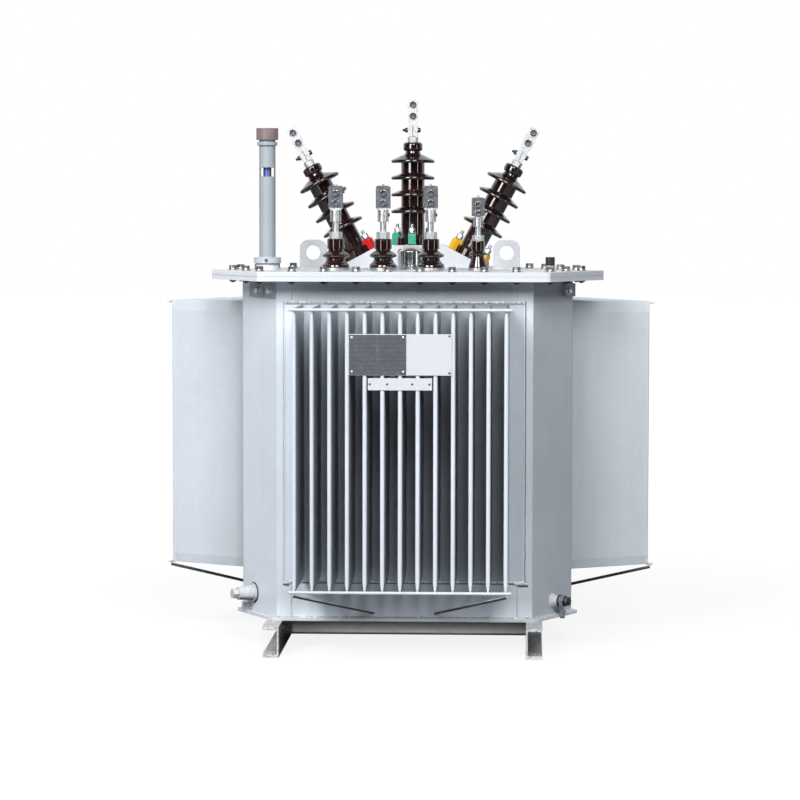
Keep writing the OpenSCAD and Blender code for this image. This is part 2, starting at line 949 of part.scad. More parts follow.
// Gauge tube on two base discs, open at the window, with a collar under the cap
module oil_gauge_tube() {
    discs_h = 2 * gauge_disc_t + gauge_disc_gap;
    collar_z = gauge_h - gauge_collar_drop - gauge_collar_h;
    color(paint)
        translate([gauge_x, fitting_y, cover_top])
            difference() {
                union() {
                    cylinder(d = gauge_base_d * gauge_foot_share, h = gauge_disc_t);
                    translate([0, 0, gauge_disc_t + gauge_disc_gap])
                        cylinder(d = gauge_base_d, h = gauge_disc_t);
                    cylinder(d = gauge_d, h = gauge_h);
                    translate([0, 0, collar_z])
                        cylinder(d = gauge_collar_d, h = gauge_collar_h);
                }
                translate([0, 0, discs_h])
                    cylinder(d = gauge_d - 2 * gauge_wall, h = gauge_h);
                translate([-window_w / 2, -gauge_d, window_z])
                    cube([window_w, 2 * gauge_d, window_h]);
            }
}

// Sight glass inside the gauge tube, from its floor to its cap
module oil_gauge_glass() {
    discs_h = 2 * gauge_disc_t + gauge_disc_gap;
    color(sight_blue)
        translate([gauge_x, fitting_y, cover_top + discs_h])
            cylinder(d = sight_d, h = gauge_h - discs_h);
}

module oil_gauge_cap() {
    color(cap_brown)
        translate([gauge_x, fitting_y, cover_top + gauge_h])
            cylinder(d = gauge_cap_d, h = gauge_cap_h);
}

// Relief valve: a rim, an upright wall and a domed top
module relief_valve() {
    wall_top = relief_h - relief_dome_h;
    dome_r = ((relief_d / 2) ^ 2 + relief_dome_h ^ 2) / (2 * relief_dome_h);
    color(zinc)
        translate([relief_x, plan_y - relief_y, cover_top])
            rotate_extrude() {
                square([relief_d / 2 + relief_rim, relief_rim_h]);
                square([relief_d / 2, wall_top]);
                intersection() {
                    translate([0, wall_top])
                        square([relief_d / 2, relief_dome_h]);
                    translate([0, relief_h - dome_r])
                        circle(r = dome_r);
                }
            }
}

module thermometer_pocket() {
    color(zinc)
        translate([pocket_x, fitting_y, cover_top])
            cylinder(d = pocket_d + pocket_nut_over, h = pocket_nut_h, $fn = 6);
}

module thermometer_cap() {
    color(rubber)
        translate([pocket_x, fitting_y, cover_top + pocket_nut_h])
            cylinder(d = pocket_d, h = pocket_h - pocket_nut_h);
}

// Flat plate against the outer edges of the front fins
module fin_plate(x, z, w, h, out) {
    on_side(front_deg)
        translate([x, -out - plate_t, z])
            cube([w, plate_t, h]);
}

module plate_backing() {
    color(plate_white)
        fin_plate(-backing_w / 2, backing_z, backing_w, backing_h, plate_out);
}

module rating_plate() {
    color(plate_grey)
        fin_plate(
            plate_edge - backing_w / 2, backing_z + plate_edge, rating_w, backing_h - 2 * plate_edge,
            plate_out + plate_t
        );
}

module blank_strip() {
    color(plate_white)
        fin_plate(-strip_w / 2, backing_z - strip_gap - strip_h, strip_w, strip_h, plate_out);
}

// Tapered drain stub with a welded flange and a hexagonal plug
module drain_valve() {
    color(paint)
        on_side(left_corner_deg)
            translate([drain_x, 0, valve_z])
                rotate([90, 0, 0]) {
                    cylinder(d = drain_flange_d, h = drain_flange_t);
                    cylinder(d1 = drain_d + drain_taper, d2 = drain_d, h = drain_l);
                    cylinder(d = drain_plug_d, h = drain_l + drain_plug_l, $fn = 6);
                }
}

// Sampling valve: wall flange, stub, nut, outlet and a handle that hangs from the nut
module sampling_valve() {
    nut_end = sample_l + sample_nut_l;
    handle_y = sample_l + sample_nut_l / 2;
    color(zinc)
        on_side(right_corner_deg)
            translate([0, 0, sample_z]) {
                rotate([90, 0, 0]) {
                    cylinder(d = sample_d + sample_flange_over, h = sample_flange_t);
                    cylinder(d = sample_d, h = sample_l);
                    translate([0, 0, sample_l])
                        cylinder(d = sample_d + sample_nut_over, h = sample_nut_l, $fn = 6);
                    cylinder(d = sample_out_d, h = nut_end + sample_out_l);
                }
                translate([0, -handle_y, -sample_drop]) {
                    cylinder(d = sample_stem_d, h = sample_drop);
                    cylinder(d = sample_grip_d, h = sample_grip_l);
                }
            }
}

// Earthing pads under the flange and blocks beside the base rim, on the two front corner walls
module earth_pads() {
    color(paint) {
        for (pad_shares = left_pads_shares)
            earth_pad(left_corner_deg, pad_shares);
        earth_pad(right_corner_deg, right_pad_shares);
        earth_block(left_corner_deg, block_places_shares[0]);
        earth_block(right_corner_deg, block_places_shares[1]);
    }
}

module earth_pad(turn, pad_shares) {
    pad_w = pad_shares[1] * short_side;
    on_side(turn)
        translate([pad_shares[0] * short_side - pad_w / 2, -pad_t, wall_h - pad_drop - pad_h])
            cube([pad_w, pad_t, pad_h]);
}

module earth_block(turn, place_share) {
    on_side(turn)
        translate([place_share * short_side - block_w / 2, -block_t, 0])
            cube([block_w, block_t, block_h]);
}

base_plate();
front_wall();
left_wall();
right_wall();
left_corner_wall();
right_corner_wall();
back_corner_wall();
top_flange();
cover_gasket();
cover_plate();
front_fins();
left_fins();
right_fins();
front_stay_rods();
left_stay_rods();
right_stay_rods();
left_skid();
right_skid();
cross_channel();
bushing_seat();
hv_bushing_left();
hv_bushing_middle();
hv_bushing_right();
hv_clamp_left();
hv_clamp_middle();
hv_clamp_right();
hv_terminals();
lv_base_rings();
lv_bushing_left();
lv_bushing_middle();
lv_bushing_right();
lv_bushing_neutral();
lv_terminals();
left_lifting_lug();
right_lifting_lug();
oil_gauge_tube();
oil_gauge_glass();
oil_gauge_cap();
relief_valve();
thermometer_pocket();
thermometer_cap();
plate_backing();
rating_plate();
blank_strip();
drain_valve();
sampling_valve();
earth_pads();
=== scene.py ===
import json
import math

import bmesh
import bpy
from mathutils import Euler, Matrix, Vector


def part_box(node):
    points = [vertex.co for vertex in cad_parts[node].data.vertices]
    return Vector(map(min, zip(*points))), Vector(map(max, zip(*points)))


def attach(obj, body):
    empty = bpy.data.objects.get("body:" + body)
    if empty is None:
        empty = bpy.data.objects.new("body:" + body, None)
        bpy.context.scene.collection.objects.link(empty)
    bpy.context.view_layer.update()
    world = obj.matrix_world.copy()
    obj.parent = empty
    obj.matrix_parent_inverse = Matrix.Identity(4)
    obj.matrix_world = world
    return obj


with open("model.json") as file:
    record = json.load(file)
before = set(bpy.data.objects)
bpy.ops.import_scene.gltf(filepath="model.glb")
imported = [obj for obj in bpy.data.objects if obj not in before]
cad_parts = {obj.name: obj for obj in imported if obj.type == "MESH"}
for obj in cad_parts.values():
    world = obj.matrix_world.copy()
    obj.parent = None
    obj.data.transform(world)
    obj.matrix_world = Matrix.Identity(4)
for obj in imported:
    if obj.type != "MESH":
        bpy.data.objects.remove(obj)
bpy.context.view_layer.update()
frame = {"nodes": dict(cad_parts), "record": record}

MM = 0.001
nodes = frame["nodes"]


# Sizes worked out from the frame

front_low, front_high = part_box("front_wall")
back_low, back_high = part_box("back_corner_wall")
cover_low, cover_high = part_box("cover_plate")
fins_low, fins_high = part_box("front_fins")
flange_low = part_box("top_flange")[0]
base_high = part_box("base_plate")[1]

LONG_SIDE = front_high.x - front_low.x
SHORT_SIDE = back_high.x - back_low.x
LONG_APOTHEM = (LONG_SIDE + 2 * SHORT_SIDE) / (2 * math.sqrt(3))
AXIS_Y = front_low.y + LONG_APOTHEM
SHORT_APOTHEM = back_high.y - AXIS_Y
COVER_TOP = cover_high.z
FLANGE_UNDER = flange_low.z
BASE_TOP = base_high.z
RIM = front_low.y - cover_low.y
SIDES = [0, 60, 120, 180, 240, 300]
LONG_SIDES = [0, 120, 240]
SHORT_SIDES = [60, 180, 300]
FIN_REACH = front_low.y - fins_low.y
FIN_CROWN = FIN_REACH - 16 * MM
FIN_EDGE = FIN_REACH - 7 * MM
ROD_LOW = fins_low.z + 3 * MM
GAUGE_DISC = COVER_TOP + 16 * MM
GAUGE_FOOT = COVER_TOP + 35 * MM
FLAG_ROOT = COVER_TOP + 167 * MM
NEUTRAL_FLAG_ROOT = COVER_TOP + 146 * MM
FORWARDS = (0, -1, 0)
RIGHTWARDS = (1, 0, 0)
FOOT_BEAD = 3.2 * MM
WELD_ANGLE = 60.0
SUNK = 0.1 * MM


def at(x, y, z):
    return Matrix.Translation((x, y, z))


def middle_of(node):
    """Middle of a node, seen from above."""
    low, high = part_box(node)
    return (low.x + high.x) / 2, (low.y + high.y) / 2


def on_side(turn):
    """Frame of a side of the tank: X along the wall, -Y outwards, Z from the base plate."""
    apothem = LONG_APOTHEM if turn in LONG_SIDES else SHORT_APOTHEM
    spin = Matrix.Rotation(math.radians(turn), 4, "Z")
    return at(0, AXIS_Y, BASE_TOP) @ spin @ at(0, -apothem, 0)


# Wiring of materials

class Board:
    """A node tree being wired."""

    def __init__(self, tree):
        self.tree = tree

    def node(self, kind, **settings):
        made = self.tree.nodes.new(kind)
        for key, value in settings.items():
            setattr(made, key, value)
        return made

    def feed(self, socket, value):
        if isinstance(value, bpy.types.NodeSocket):
            self.tree.links.new(value, socket)
        else:
            socket.default_value = value

    def fill(self, made, **values):
        """Feeds a node's inputs by name, with an underscore for each space, and gives back its outputs."""
        for key, value in values.items():
            self.feed(made.inputs[key.replace("_", " ")], value)
        return made.outputs

    def place(self, stretch=(1, 1, 1), turn=(0, 0, 0), shift=(0, 0, 0)):
        coords = self.node("ShaderNodeTexCoord").outputs["Object"]
        mapping = self.node("ShaderNodeMapping")
        return self.fill(mapping, Vector=coords, Scale=stretch, Rotation=turn, Location=shift)["Vector"]

    def noise(self, where, scale, detail=3.0, rough=0.55, swirl=0.0):
        made = self.node("ShaderNodeTexNoise")
        settings = dict(Scale=scale, Detail=detail, Roughness=rough, Distortion=swirl)
        return self.fill(made, Vector=where, **settings)[0]

    def spread(self, value, low, high, to_low=0.0, to_high=1.0):
        made = self.node("ShaderNodeMapRange")
        limits = dict(From_Min=low, From_Max=high, To_Min=to_low, To_Max=to_high)
        return self.fill(made, Value=value, **limits)["Result"]

    def reckon(self, kind, a, b=0.0):
        made = self.node("ShaderNodeMath", operation=kind)
        self.feed(made.inputs[0], a)
        self.feed(made.inputs[1], b)
        return made.outputs[0]

    def plus(self, a, b):
        return self.reckon("ADD", a, b)

    def minus(self, a, b):
        return self.reckon("SUBTRACT", a, b)

    def times(self, a, b):
        return self.reckon("MULTIPLY", a, b)

    def larger(self, a, b):
        return self.reckon("MAXIMUM", a, b)

    def unsigned(self, a):
        return self.reckon("ABSOLUTE", a)

    def blend(self, share, a, b, kind="MIX"):
        made = self.node("ShaderNodeMix", data_type="RGBA", blend_type=kind)
        self.feed(made.inputs[0], share)
        self.feed(made.inputs[6], a)
        self.feed(made.inputs[7], b)
        return made.outputs[2]

    def tint(self, colour, tone):
        """One colour multiplied by another."""
        return self.blend(1.0, colour, tone, "MULTIPLY")

    def axis(self, where, name):
        return self.fill(self.node("ShaderNodeSeparateXYZ"), Vector=where)[name]

    def normal(self, name):
        """How far a surface faces along an axis: 1 along it, 0 sideways, -1 against it."""
        return self.axis(self.node("ShaderNodeNewGeometry").outputs["Normal"], name)

    def effect(self, group, **values):
        return self.fill(self.node("ShaderNodeGroup", node_tree=group), **values)


def rgb(red, green, blue):
    return (red, green, blue, 1.0)


def grey(level):
    return (level, level, level, 1.0)


def make_group(name, inputs, outputs):
    """A shader node group with its sockets; kinds are C for colour and F for value."""
    tree = bpy.data.node_groups.new(name, "ShaderNodeTree")
    kinds = {"C": "NodeSocketColor", "F": "NodeSocketFloat"}
    for title, kind, value in inputs:
        socket = tree.interface.new_socket(title, in_out="INPUT", socket_type=kinds[kind])
        socket.default_value = value
    for title, kind in outputs:
        tree.interface.new_socket(title, in_out="OUTPUT", socket_type=kinds[kind])
    board = Board(tree)
    entry = board.node("NodeGroupInput").outputs
    leave = board.node("NodeGroupOutput")
    return tree, board, entry, leave


def make_paint_skin():
    """Sprayed paint: broad and fine changes of tone, roughness, peel and slight waves of the sheet."""
    tree, board, entry, leave = make_group(
        "paint_skin",
        [("Paint", "C", rgb(0.6, 0.64, 0.7)), ("Mottle", "F", 0.05), ("Waves", "F", 1.0)],
        [("Color", "C"), ("Roughness", "F"), ("Height", "F")],
    )
    where = board.place()
    broad = board.noise(where, 3.1, 4.0, 0.6)
    fine = board.noise(where, 46.0, 3.0, 0.6)
    tone = board.plus(board.spread(broad, 0.3, 0.7, -1.0, 0.6), board.spread(fine, 0.3, 0.7, -0.4, 0.4))
    level = board.plus(1.0, board.times(tone, entry["Mottle"]))
    toned = board.node("ShaderNodeVectorMath", operation="SCALE")
    board.feed(toned.inputs[0], entry["Paint"])
    board.fill(toned, Scale=level)
    peel = board.times(board.noise(where, 620.0, 1.5, 0.5), 0.00008)
    wave = board.noise(board.place((1.0, 1.0, 0.32)), 9.0, 2.0, 0.5)
    height = board.plus(peel, board.times(wave, board.times(entry["Waves"], 0.004)))
    rough = board.spread(fine, 0.25, 0.75, 0.33, 0.47)
    board.fill(leave, Color=toned.outputs[0], Roughness=rough, Height=height)
    return tree


def make_grime():
    """Dust and run marks: stronger low down and in downward streaks."""
    tree, board, entry, leave = make_group(
        "grime",
        [("Color", "C", rgb(0.6, 0.64, 0.7)), ("Amount", "F", 0.14), ("High", "F", 0.35)],
        [("Color", "C"), ("Mask", "F")],
    )
    where = board.place()
    foot = board.spread(board.axis(where, "Z"), 0.0, entry["High"], 1.0, 0.0)
    streak = board.noise(board.place((26.0, 26.0, 1.6)), 1.0, 5.0, 0.65)
    blot = board.noise(where, 19.0, 5.0, 0.68, 0.4)
    low_marks = board.times(board.spread(blot, 0.48, 0.72), foot)
    marks = board.plus(board.spread(streak, 0.52, 0.78, 0.0, 0.55), low_marks)
    mask = board.times(board.reckon("MINIMUM", marks, 1.0), entry["Amount"])
    board.fill(leave, Mask=mask, Color=board.blend(mask, entry["Color"], rgb(0.16, 0.15, 0.14)))
    return tree


def make_edge_wear():
    """Mask of worn and chipped edges."""
    tree, board, entry, leave = make_group("edge_wear", [("Chips", "F", 0.5)], [("Mask", "F")])
    bevel = board.node("ShaderNodeBevel", samples=4)
    rounded = board.fill(bevel, Radius=5 * MM)[0]
    flat = board.node("ShaderNodeNewGeometry").outputs["Normal"]
    facing = board.node("ShaderNodeVectorMath", operation="DOT_PRODUCT")
    board.feed(facing.inputs[0], rounded)
    board.feed(facing.inputs[1], flat)
    edge = board.spread(facing.outputs["Value"], 0.99, 0.78)
    chip = board.noise(board.place(), 85.0, 5.0, 0.7)
    worn = board.times(edge, board.spread(chip, 0.42, 0.62))
    board.fill(leave, Mask=board.times(worn, entry["Chips"]))
    return tree


def make_metal_grain():
    """Bare or plated metal: blotches, fine scratches and pits."""
    tree, board, entry, leave = make_group(
        "metal_grain",
        [("Metal", "C", grey(0.6)), ("Shade", "C", grey(0.4)), ("Grain", "F", 300.0), ("Pits", "F", 1.0)],
        [("Color", "C"), ("Roughness", "F"), ("Height", "F")],
    )
    where = board.place()
    blotch = board.spread(board.noise(where, 60.0, 4.0, 0.65), 0.38, 0.66)
    grain = board.noise(where, entry["Grain"], 3.0, 0.5)
    rough = board.spread(grain, 0.3, 0.7, 0.26, 0.46)
    height = board.times(board.times(grain, entry["Pits"]), 0.0001)
    shown = board.blend(blotch, entry["Metal"], entry["Shade"])
    board.fill(leave, Color=shown, Roughness=rough, Height=height)
    return tree


PAINT_SKIN = make_paint_skin()
GRIME = make_grime()
EDGE_WEAR = make_edge_wear()
METAL_GRAIN = make_metal_grain()


def start_material(name):
    material = bpy.data.materials.new(name)
    material.use_nodes = True
    board = Board(material.node_tree)
    shader = material.node_tree.nodes["Principled BSDF"]
    return material, board, shader


def relief(board, shader, height, strength, round_r=None):
    """Bump from a height, over edges rounded off by a radius."""
    bump = board.node("ShaderNodeBump")
    board.fill(bump, Strength=strength, Distance=1.0, Height=height)
    if round_r:
        bevel = board.node("ShaderNodeBevel", samples=4)
        board.fill(bump, Normal=board.fill(bevel, Radius=round_r)[0])
    board.fill(shader, Normal=bump.outputs[0])


def painted(name, paint, tone=None, mottle=0.05, waves=1.0, grime=0.14, grime_top=0.35,
            round_r=2.5 * MM, chips=0.0):
    """Painted steel with slight waves, dust, runs and chipped edges; tone changes the paint by place."""
    material, board, shader = start_material(name)
    if tone:
        paint = tone(board, paint)
    skin = board.effect(PAINT_SKIN, Paint=paint, Mottle=mottle, Waves=waves)
    dirt = board.effect(GRIME, Color=skin["Color"], Amount=grime, High=grime_top)
    colour = dirt["Color"]
    if chips:
        worn = board.effect(EDGE_WEAR, Chips=chips)["Mask"]
        colour = board.blend(worn, colour, rgb(0.16, 0.12, 0.1))
    rough = board.plus(skin["Roughness"], board.times(dirt["Mask"], 0.4))
    board.fill(shader, Base_Color=colour, Roughness=rough)
    relief(board, shader, skin["Height"], 0.35, round_r)
    return material


def metal(name, bright, shade, grain=300.0, rough_shift=0.0, round_r=1 * MM, pits=1.0, metallic=1.0,
          tone=None):
    """Plated, cast or polished metal; tone changes it by place."""
    material, board, shader = start_material(name)
    if tone:
        bright, shade = tone(board, bright, shade)
    skin = board.effect(METAL_GRAIN, Metal=bright, Shade=shade, Grain=grain, Pits=pits)
    rough = board.plus(skin["Roughness"], rough_shift)
    board.fill(shader, Base_Color=skin["Color"], Roughness=rough, Metallic=metallic)
    relief(board, shader, skin["Height"], 0.3, round_r)
    return material


def moulded(name, colour, dusty, rough, round_r=1 * MM):
    """Moulded plastic or rubber with a dusty bloom."""
    material, board, shader = start_material(name)
    where = board.place()
    bloom = board.noise(where, 24.0, 5.0, 0.65)
    fine = board.noise(where, 400.0, 2.0, 0.5)
    shown = board.blend(board.spread(bloom, 0.4, 0.75, 0.0, 0.6), colour, dusty)
    dull = board.spread(bloom, 0.3, 0.7, rough - 0.06, rough + 0.12)
    board.fill(shader, Base_Color=shown, Roughness=dull)
    relief(board, shader, board.times(fine, 0.0004), 0.3, round_r)
    return material


def glazed(name):
    """Brown glazed porcelain: uneven glaze over a darker body, with a clear gloss."""
    material, board, shader = start_material(name)
    where = board.place()
    pool = board.noise(where, 16.0, 4.0, 0.6)
    speck = board.noise(where, 420.0, 2.0, 0.5)
    thin, thick = rgb(0.005, 0.0025, 0.0025), rgb(0.026, 0.0088, 0.0082)
    glaze = board.blend(board.spread(pool, 0.3, 0.72), thin, thick)
    glaze = board.blend(board.spread(speck, 0.6, 0.8, 0.0, 0.5), glaze, rgb(0.006, 0.003, 0.003))
    board.fill(shader, Base_Color=glaze, Roughness=board.spread(pool, 0.3, 0.7, 0.03, 0.07))
    board.fill(shader, Specular_IOR_Level=0.6, Coat_Weight=0.6, Coat_Roughness=0.03)
    wave = board.noise(where, 28.0, 2.0, 0.5)
    relief(board, shader, board.times(wave, 0.001), 0.2, 1.2 * MM)
    return material


def sight_glass(name):
    """Blue-stained glass tube of the oil gauge, darker towards its edges."""
    material, board, shader = start_material(name)
    where = board.place()
    cloud = board.noise(where, 40.0, 3.0, 0.6)
    stain = board.blend(board.spread(cloud, 0.3, 0.7), rgb(0.06, 0.10, 0.34), rgb(0.16, 0.24, 0.55))
    low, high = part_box("oil_gauge_glass")
    middle, half = (low.x + high.x) / 2, (high.x - low.x) / 2
    side = board.unsigned(board.minus(board.axis(where, "X"), middle))
    stain = board.blend(board.spread(side, half * 0.35, half * 0.95), stain, rgb(0.012, 0.016, 0.05))
    rough = board.spread(cloud, 0.3, 0.7, 0.05, 0.14)
    board.fill(shader, Base_Color=stain, Roughness=rough, Coat_Weight=1.0)
    relief(board, shader, board.times(cloud, 0.001), 0.2, 1 * MM)
    return material


def fin_depth(board):
    """How far a place stands out from the nearest finned wall."""
    where = board.place(shift=(0, -AXIS_Y, 0))
    reach = None
    for turn in LONG_SIDES:
        out = board.node("ShaderNodeVectorMath", operation="DOT_PRODUCT")
        board.feed(out.inputs[0], where)
        angle = math.radians(turn)
        board.feed(out.inputs[1], (math.sin(angle), -math.cos(angle), 0))
        reach = board.larger(reach, out.outputs["Value"]) if reach else out.outputs["Value"]
    return board.minus(reach, LONG_APOTHEM)


def flange_shadow(board, tone, darkest):
    """Darkens a tone close under the flange, as the flange's painted shadow."""
    level = board.axis(board.place(), "Z")
    close = board.spread(level, FLANGE_UNDER - 62 * MM, FLANGE_UNDER - 36 * MM)
    return board.blend(close, tone, board.tint(tone, grey(darkest)))


def front_wall_painted_light(board, paint):
    """Painted shade on the wall above and below the fins, less of it beside them, painted light at its foot,
    and the flange's painted shadow.
    """
    across = board.axis(board.place(), "X")
    half = LONG_SIDE / 2
    aside = board.spread(board.unsigned(across), half * 0.82, half * 0.88)
    tone = board.blend(aside, grey(0.82), grey(0.96))
    level = board.axis(board.place(), "Z")
    # Painted light at the foot of the wall.
    tone = board.blend(board.spread(level, BASE_TOP, BASE_TOP + 55 * MM, 1.0, 0.0), tone, grey(1.27))
    return board.tint(paint, flange_shadow(board, tone, 0.84))


def right_corner_painted_shade(board, paint):
    """Paint darkened all over, a little unevenly, as painted shade, with the flange's painted shadow below
    it.
    """
    dimming = board.spread(board.noise(board.place(), 5.0, 4.0, 0.6), 0.3, 0.7, 0.78, 0.86)
    tone = board.blend(dimming, grey(0.0), grey(1.0))
    return board.tint(paint, flange_shadow(board, tone, 0.55))


def fin_painted_shade(board, paint):
    """Painted shade deep between the fins and painted light on their outer edges."""
    depth = fin_depth(board)
    inner = board.blend(board.spread(depth, 0.0, FIN_REACH * 0.7), rgb(0.74, 0.75, 0.76), grey(1.0))
    outer = board.blend(board.spread(depth, FIN_CROWN, FIN_EDGE), inner, grey(1.04))
    return board.tint(paint, outer)


def front_fin_painted_shade(board, paint):
    """Painted light and shade between the front fins: light between the left ones, dark between the middle
    ones and darker still between the right ones, less dark past the last fin, edges a little darker on the
    left, and painted shade on the right-hand sides of the left fins.
    """
    depth = fin_depth(board)
    across = board.axis(board.place(), "X")
    half = LONG_SIDE * 0.4
    lit_gaps, shaded_gaps = rgb(1.05, 1.06, 1.07), rgb(0.61, 0.615, 0.625)
    inner = board.blend(board.spread(across, -half, -half * 0.25), lit_gaps, shaded_gaps)
    inner = board.blend(board.spread(across, half * 0.2, half * 0.8), inner, rgb(0.50, 0.505, 0.515))
    inner = board.blend(board.spread(across, half + 3 * MM, half + 7 * MM), inner, rgb(0.82, 0.825, 0.835))
    edge = board.blend(board.spread(across, -half * 0.9, -half * 0.2), grey(0.92), grey(0.99))
    outer = board.blend(board.spread(depth, FIN_CROWN, FIN_EDGE), inner, edge)
    turned = board.spread(board.normal("X"), 0.3, 0.9)
    shaded_side = board.times(turned, board.spread(across, -half * 0.8, -half * 0.1, 1.0, 0.0))
    outer = board.blend(shaded_side, outer, board.tint(outer, grey(0.55)))
    return board.tint(paint, outer)


def rod_painted_shade(board, paint, lit_from_above=False):
    """Pale stay rods with their braces below painted dark as shade; on the front the braces' upward faces are
    painted light.
    """
    where = board.place()
    wander = board.noise(where, 90.0, 4.0, 0.6)
    brace_shade = board.blend(board.spread(wander, 0.35, 0.7), rgb(0.022, 0.023, 0.025), rgb(0.06, 0.063, 0.067))
    if lit_from_above:
        brace_shade = board.blend(board.spread(board.normal("Z"), -0.05, 0.35), brace_shade, rgb(0.56, 0.60, 0.65))
    above = board.spread(board.axis(where, "Z"), ROD_LOW - 0.5 * MM, ROD_LOW + 1 * MM)
    return board.blend(above, brace_shade, paint)


# The front braces' upward faces are painted light.
def front_rod_painted_shade(board, paint):
    return rod_painted_shade(board, paint, lit_from_above=True)


def skid_rust_and_shade(board, paint):
    """Painted ends of the skids; dark rust inside them, partly rust and partly painted shade, paler in the
    left skid; and faces towards the middle painted near-black as shade, darker further back.
    """
    where = board.place()
    low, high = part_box("right_skid")
    wall = 5 * MM
    across = board.unsigned(board.axis(where, "X"))
    level = board.axis(where, "Z")
    along = board.axis(where, "Y")
    rust = board.noise(where, 34.0, 6.0, 0.7, 0.6)
    speck = board.noise(where, 150.0, 4.0, 0.65)
    rust_and_shade = board.blend(board.spread(rust, 0.35, 0.68), rgb(0.03, 0.021, 0.016), rgb(0.10, 0.062, 0.04))
    rust_and_shade = board.blend(board.spread(speck, 0.56, 0.66), rust_and_shade, rgb(0.012, 0.011, 0.011))
    inside = board.times(
        board.spread(across, low.x + wall - 0.8 * MM, low.x + wall - 0.2 * MM),
        board.times(
            board.spread(level, wall * 1.1, wall * 2.5),
            board.spread(level, high.z - wall * 0.96, high.z - wall * 0.8, 1.0, 0.0),
        ),
    )
    inside = board.times(inside, board.spread(along, low.y + 1 * MM, low.y + 5 * MM))
    inboard = board.times(
        board.spread(across, low.x + 0.2 * MM, low.x + 0.7 * MM, 1.0, 0.0),
        board.spread(along, low.y + 1 * MM, low.y + 60 * MM, 0.55, 0.96),
    )
    worn = board.blend(board.spread(speck, 0.55, 0.61, 0.0, 0.9), paint, rgb(0.05, 0.042, 0.036))
    worn = board.blend(board.spread(rust, 0.60, 0.72, 0.0, 0.5), worn, rgb(0.20, 0.14, 0.10))
    by_side = board.spread(board.axis(where, "X"), -10 * MM, 10 * MM, 0.42, 1.0)
    worn = board.blend(board.times(inside, by_side), worn, rust_and_shade)
    return board.blend(inboard, worn, rgb(0.060, 0.062, 0.060))


def flag_tone(board, bright, shade):
    """Dull cast flags over bright turned barrels, studs and nuts."""
    where = board.place()
    across = board.axis(where, "X")
    neutral_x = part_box("lv_bushing_neutral")[0].x
    root = board.spread(across, neutral_x - 2 * MM, neutral_x, FLAG_ROOT, NEUTRAL_FLAG_ROOT)
    above = board.spread(board.minus(board.axis(where, "Z"), root), -1 * MM, 0.0)
    return (
        board.blend(above, rgb(0.70, 0.71, 0.73), bright),
        board.blend(above, rgb(0.60, 0.61, 0.63), shade),
    )


def band_highlights_and_dust(board, paint):
    """Painted highlights along the lower lip of the flange and the upper edge of the cover, painted light on
    the left end, and dust on top.
    """
    level = board.axis(board.place(), "Z")
    upper = board.times(
        board.spread(level, COVER_TOP - 3 * MM, COVER_TOP - 1.5 * MM),
        board.spread(level, COVER_TOP - 0.4 * MM, COVER_TOP - 0.1 * MM, 1.0, 0.0),
    )
    lower = board.spread(level, FLANGE_UNDER + 2 * MM, FLANGE_UNDER + 4 * MM, 1.0, 0.0)
    paint = board.blend(board.larger(upper, lower), paint, rgb(0.66, 0.68, 0.705))
    left = board.spread(board.axis(board.place(), "X"), -LONG_SIDE * 0.56, -LONG_SIDE * 0.53, 1.0, 0.0)
    paint = board.blend(left, paint, rgb(0.75, 0.775, 0.81))
    dust = board.spread(board.noise(board.place(), 7.0, 5.0, 0.65, 0.3), 0.3, 0.7, 0.12, 0.42)
    lying = board.times(dust, board.spread(board.normal("Z"), 0.6, 0.95))
    return board.blend(lying, paint, rgb(0.40, 0.405, 0.40))


def pad_painted_shade(board, paint):
    """Earthing pads under the flange painted dark as the flange's shade, and painted blocks at the foot."""
    where = board.place()
    wander = board.noise(where, 70.0, 4.0, 0.65)
    pad_shade = board.blend(board.spread(wander, 0.35, 0.7), rgb(0.24, 0.265, 0.29), rgb(0.36, 0.39, 0.42))
    high_up = board.spread(board.axis(where, "Z"), FLANGE_UNDER - 200 * MM, FLANGE_UNDER - 100 * MM)
    return board.blend(high_up, paint, pad_shade)


def drain_specks_and_shade(board, paint):
    """Worn paint on the drain, with painted shade along its underside and specks on its plug."""
    speck = board.spread(board.noise(board.place(), 190.0, 4.0, 0.65), 0.57, 0.63, 0.0, 0.6)
    paint = board.blend(speck, paint, rgb(0.30, 0.30, 0.30))
    return board.blend(board.spread(board.normal("Z"), -0.35, -0.8), paint, rgb(0.06, 0.06, 0.062))


def gauge_tone(board, paint):
    """Grey tube on a paler disc, which stands on a disc in the cover's paint."""
    level = board.axis(board.place(), "Z")
    lower, upper = rgb(0.66, 0.685, 0.71), rgb(0.44, 0.48, 0.51)
    discs = board.blend(board.spread(level, GAUGE_DISC - 0.2 * MM, GAUGE_DISC + 0.2 * MM), lower, upper)
    return board.blend(board.spread(level, GAUGE_FOOT, GAUGE_FOOT + 1 * MM), discs, paint)


def channel_painted_shade(board, paint):
    """Pale grey cross channel, with painted shade darkening it upwards under the base plate and along its
    lower edge.
    """
    where = board.place()
    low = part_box("cross_channel")[0]
    cloud = board.noise(where, 14.0, 4.0, 0.6)
    plain = board.blend(board.spread(cloud, 0.3, 0.7), paint, rgb(0.80, 0.80, 0.785))
    level = board.axis(where, "Z")
    plain = board.blend(board.spread(level, low.z + 8 * MM, low.z + 32 * MM), plain, grey(0.14))
    return board.blend(board.spread(level, low.z + 4 * MM, low.z + 7 * MM), grey(0.10), plain)


def weld_highlights_and_shade(board, paint):
    """Painted-over welds, with painted highlights on their crowns and painted shade in their undercuts."""
    where = board.place()
    crown = board.noise(where, 130.0, 3.0, 0.6)
    bright = board.blend(board.spread(crown, 0.34, 0.58), rgb(0.36, 0.385, 0.42), paint)
    return board.blend(board.spread(crown, 0.55, 0.64), bright, rgb(0.90, 0.92, 0.94))


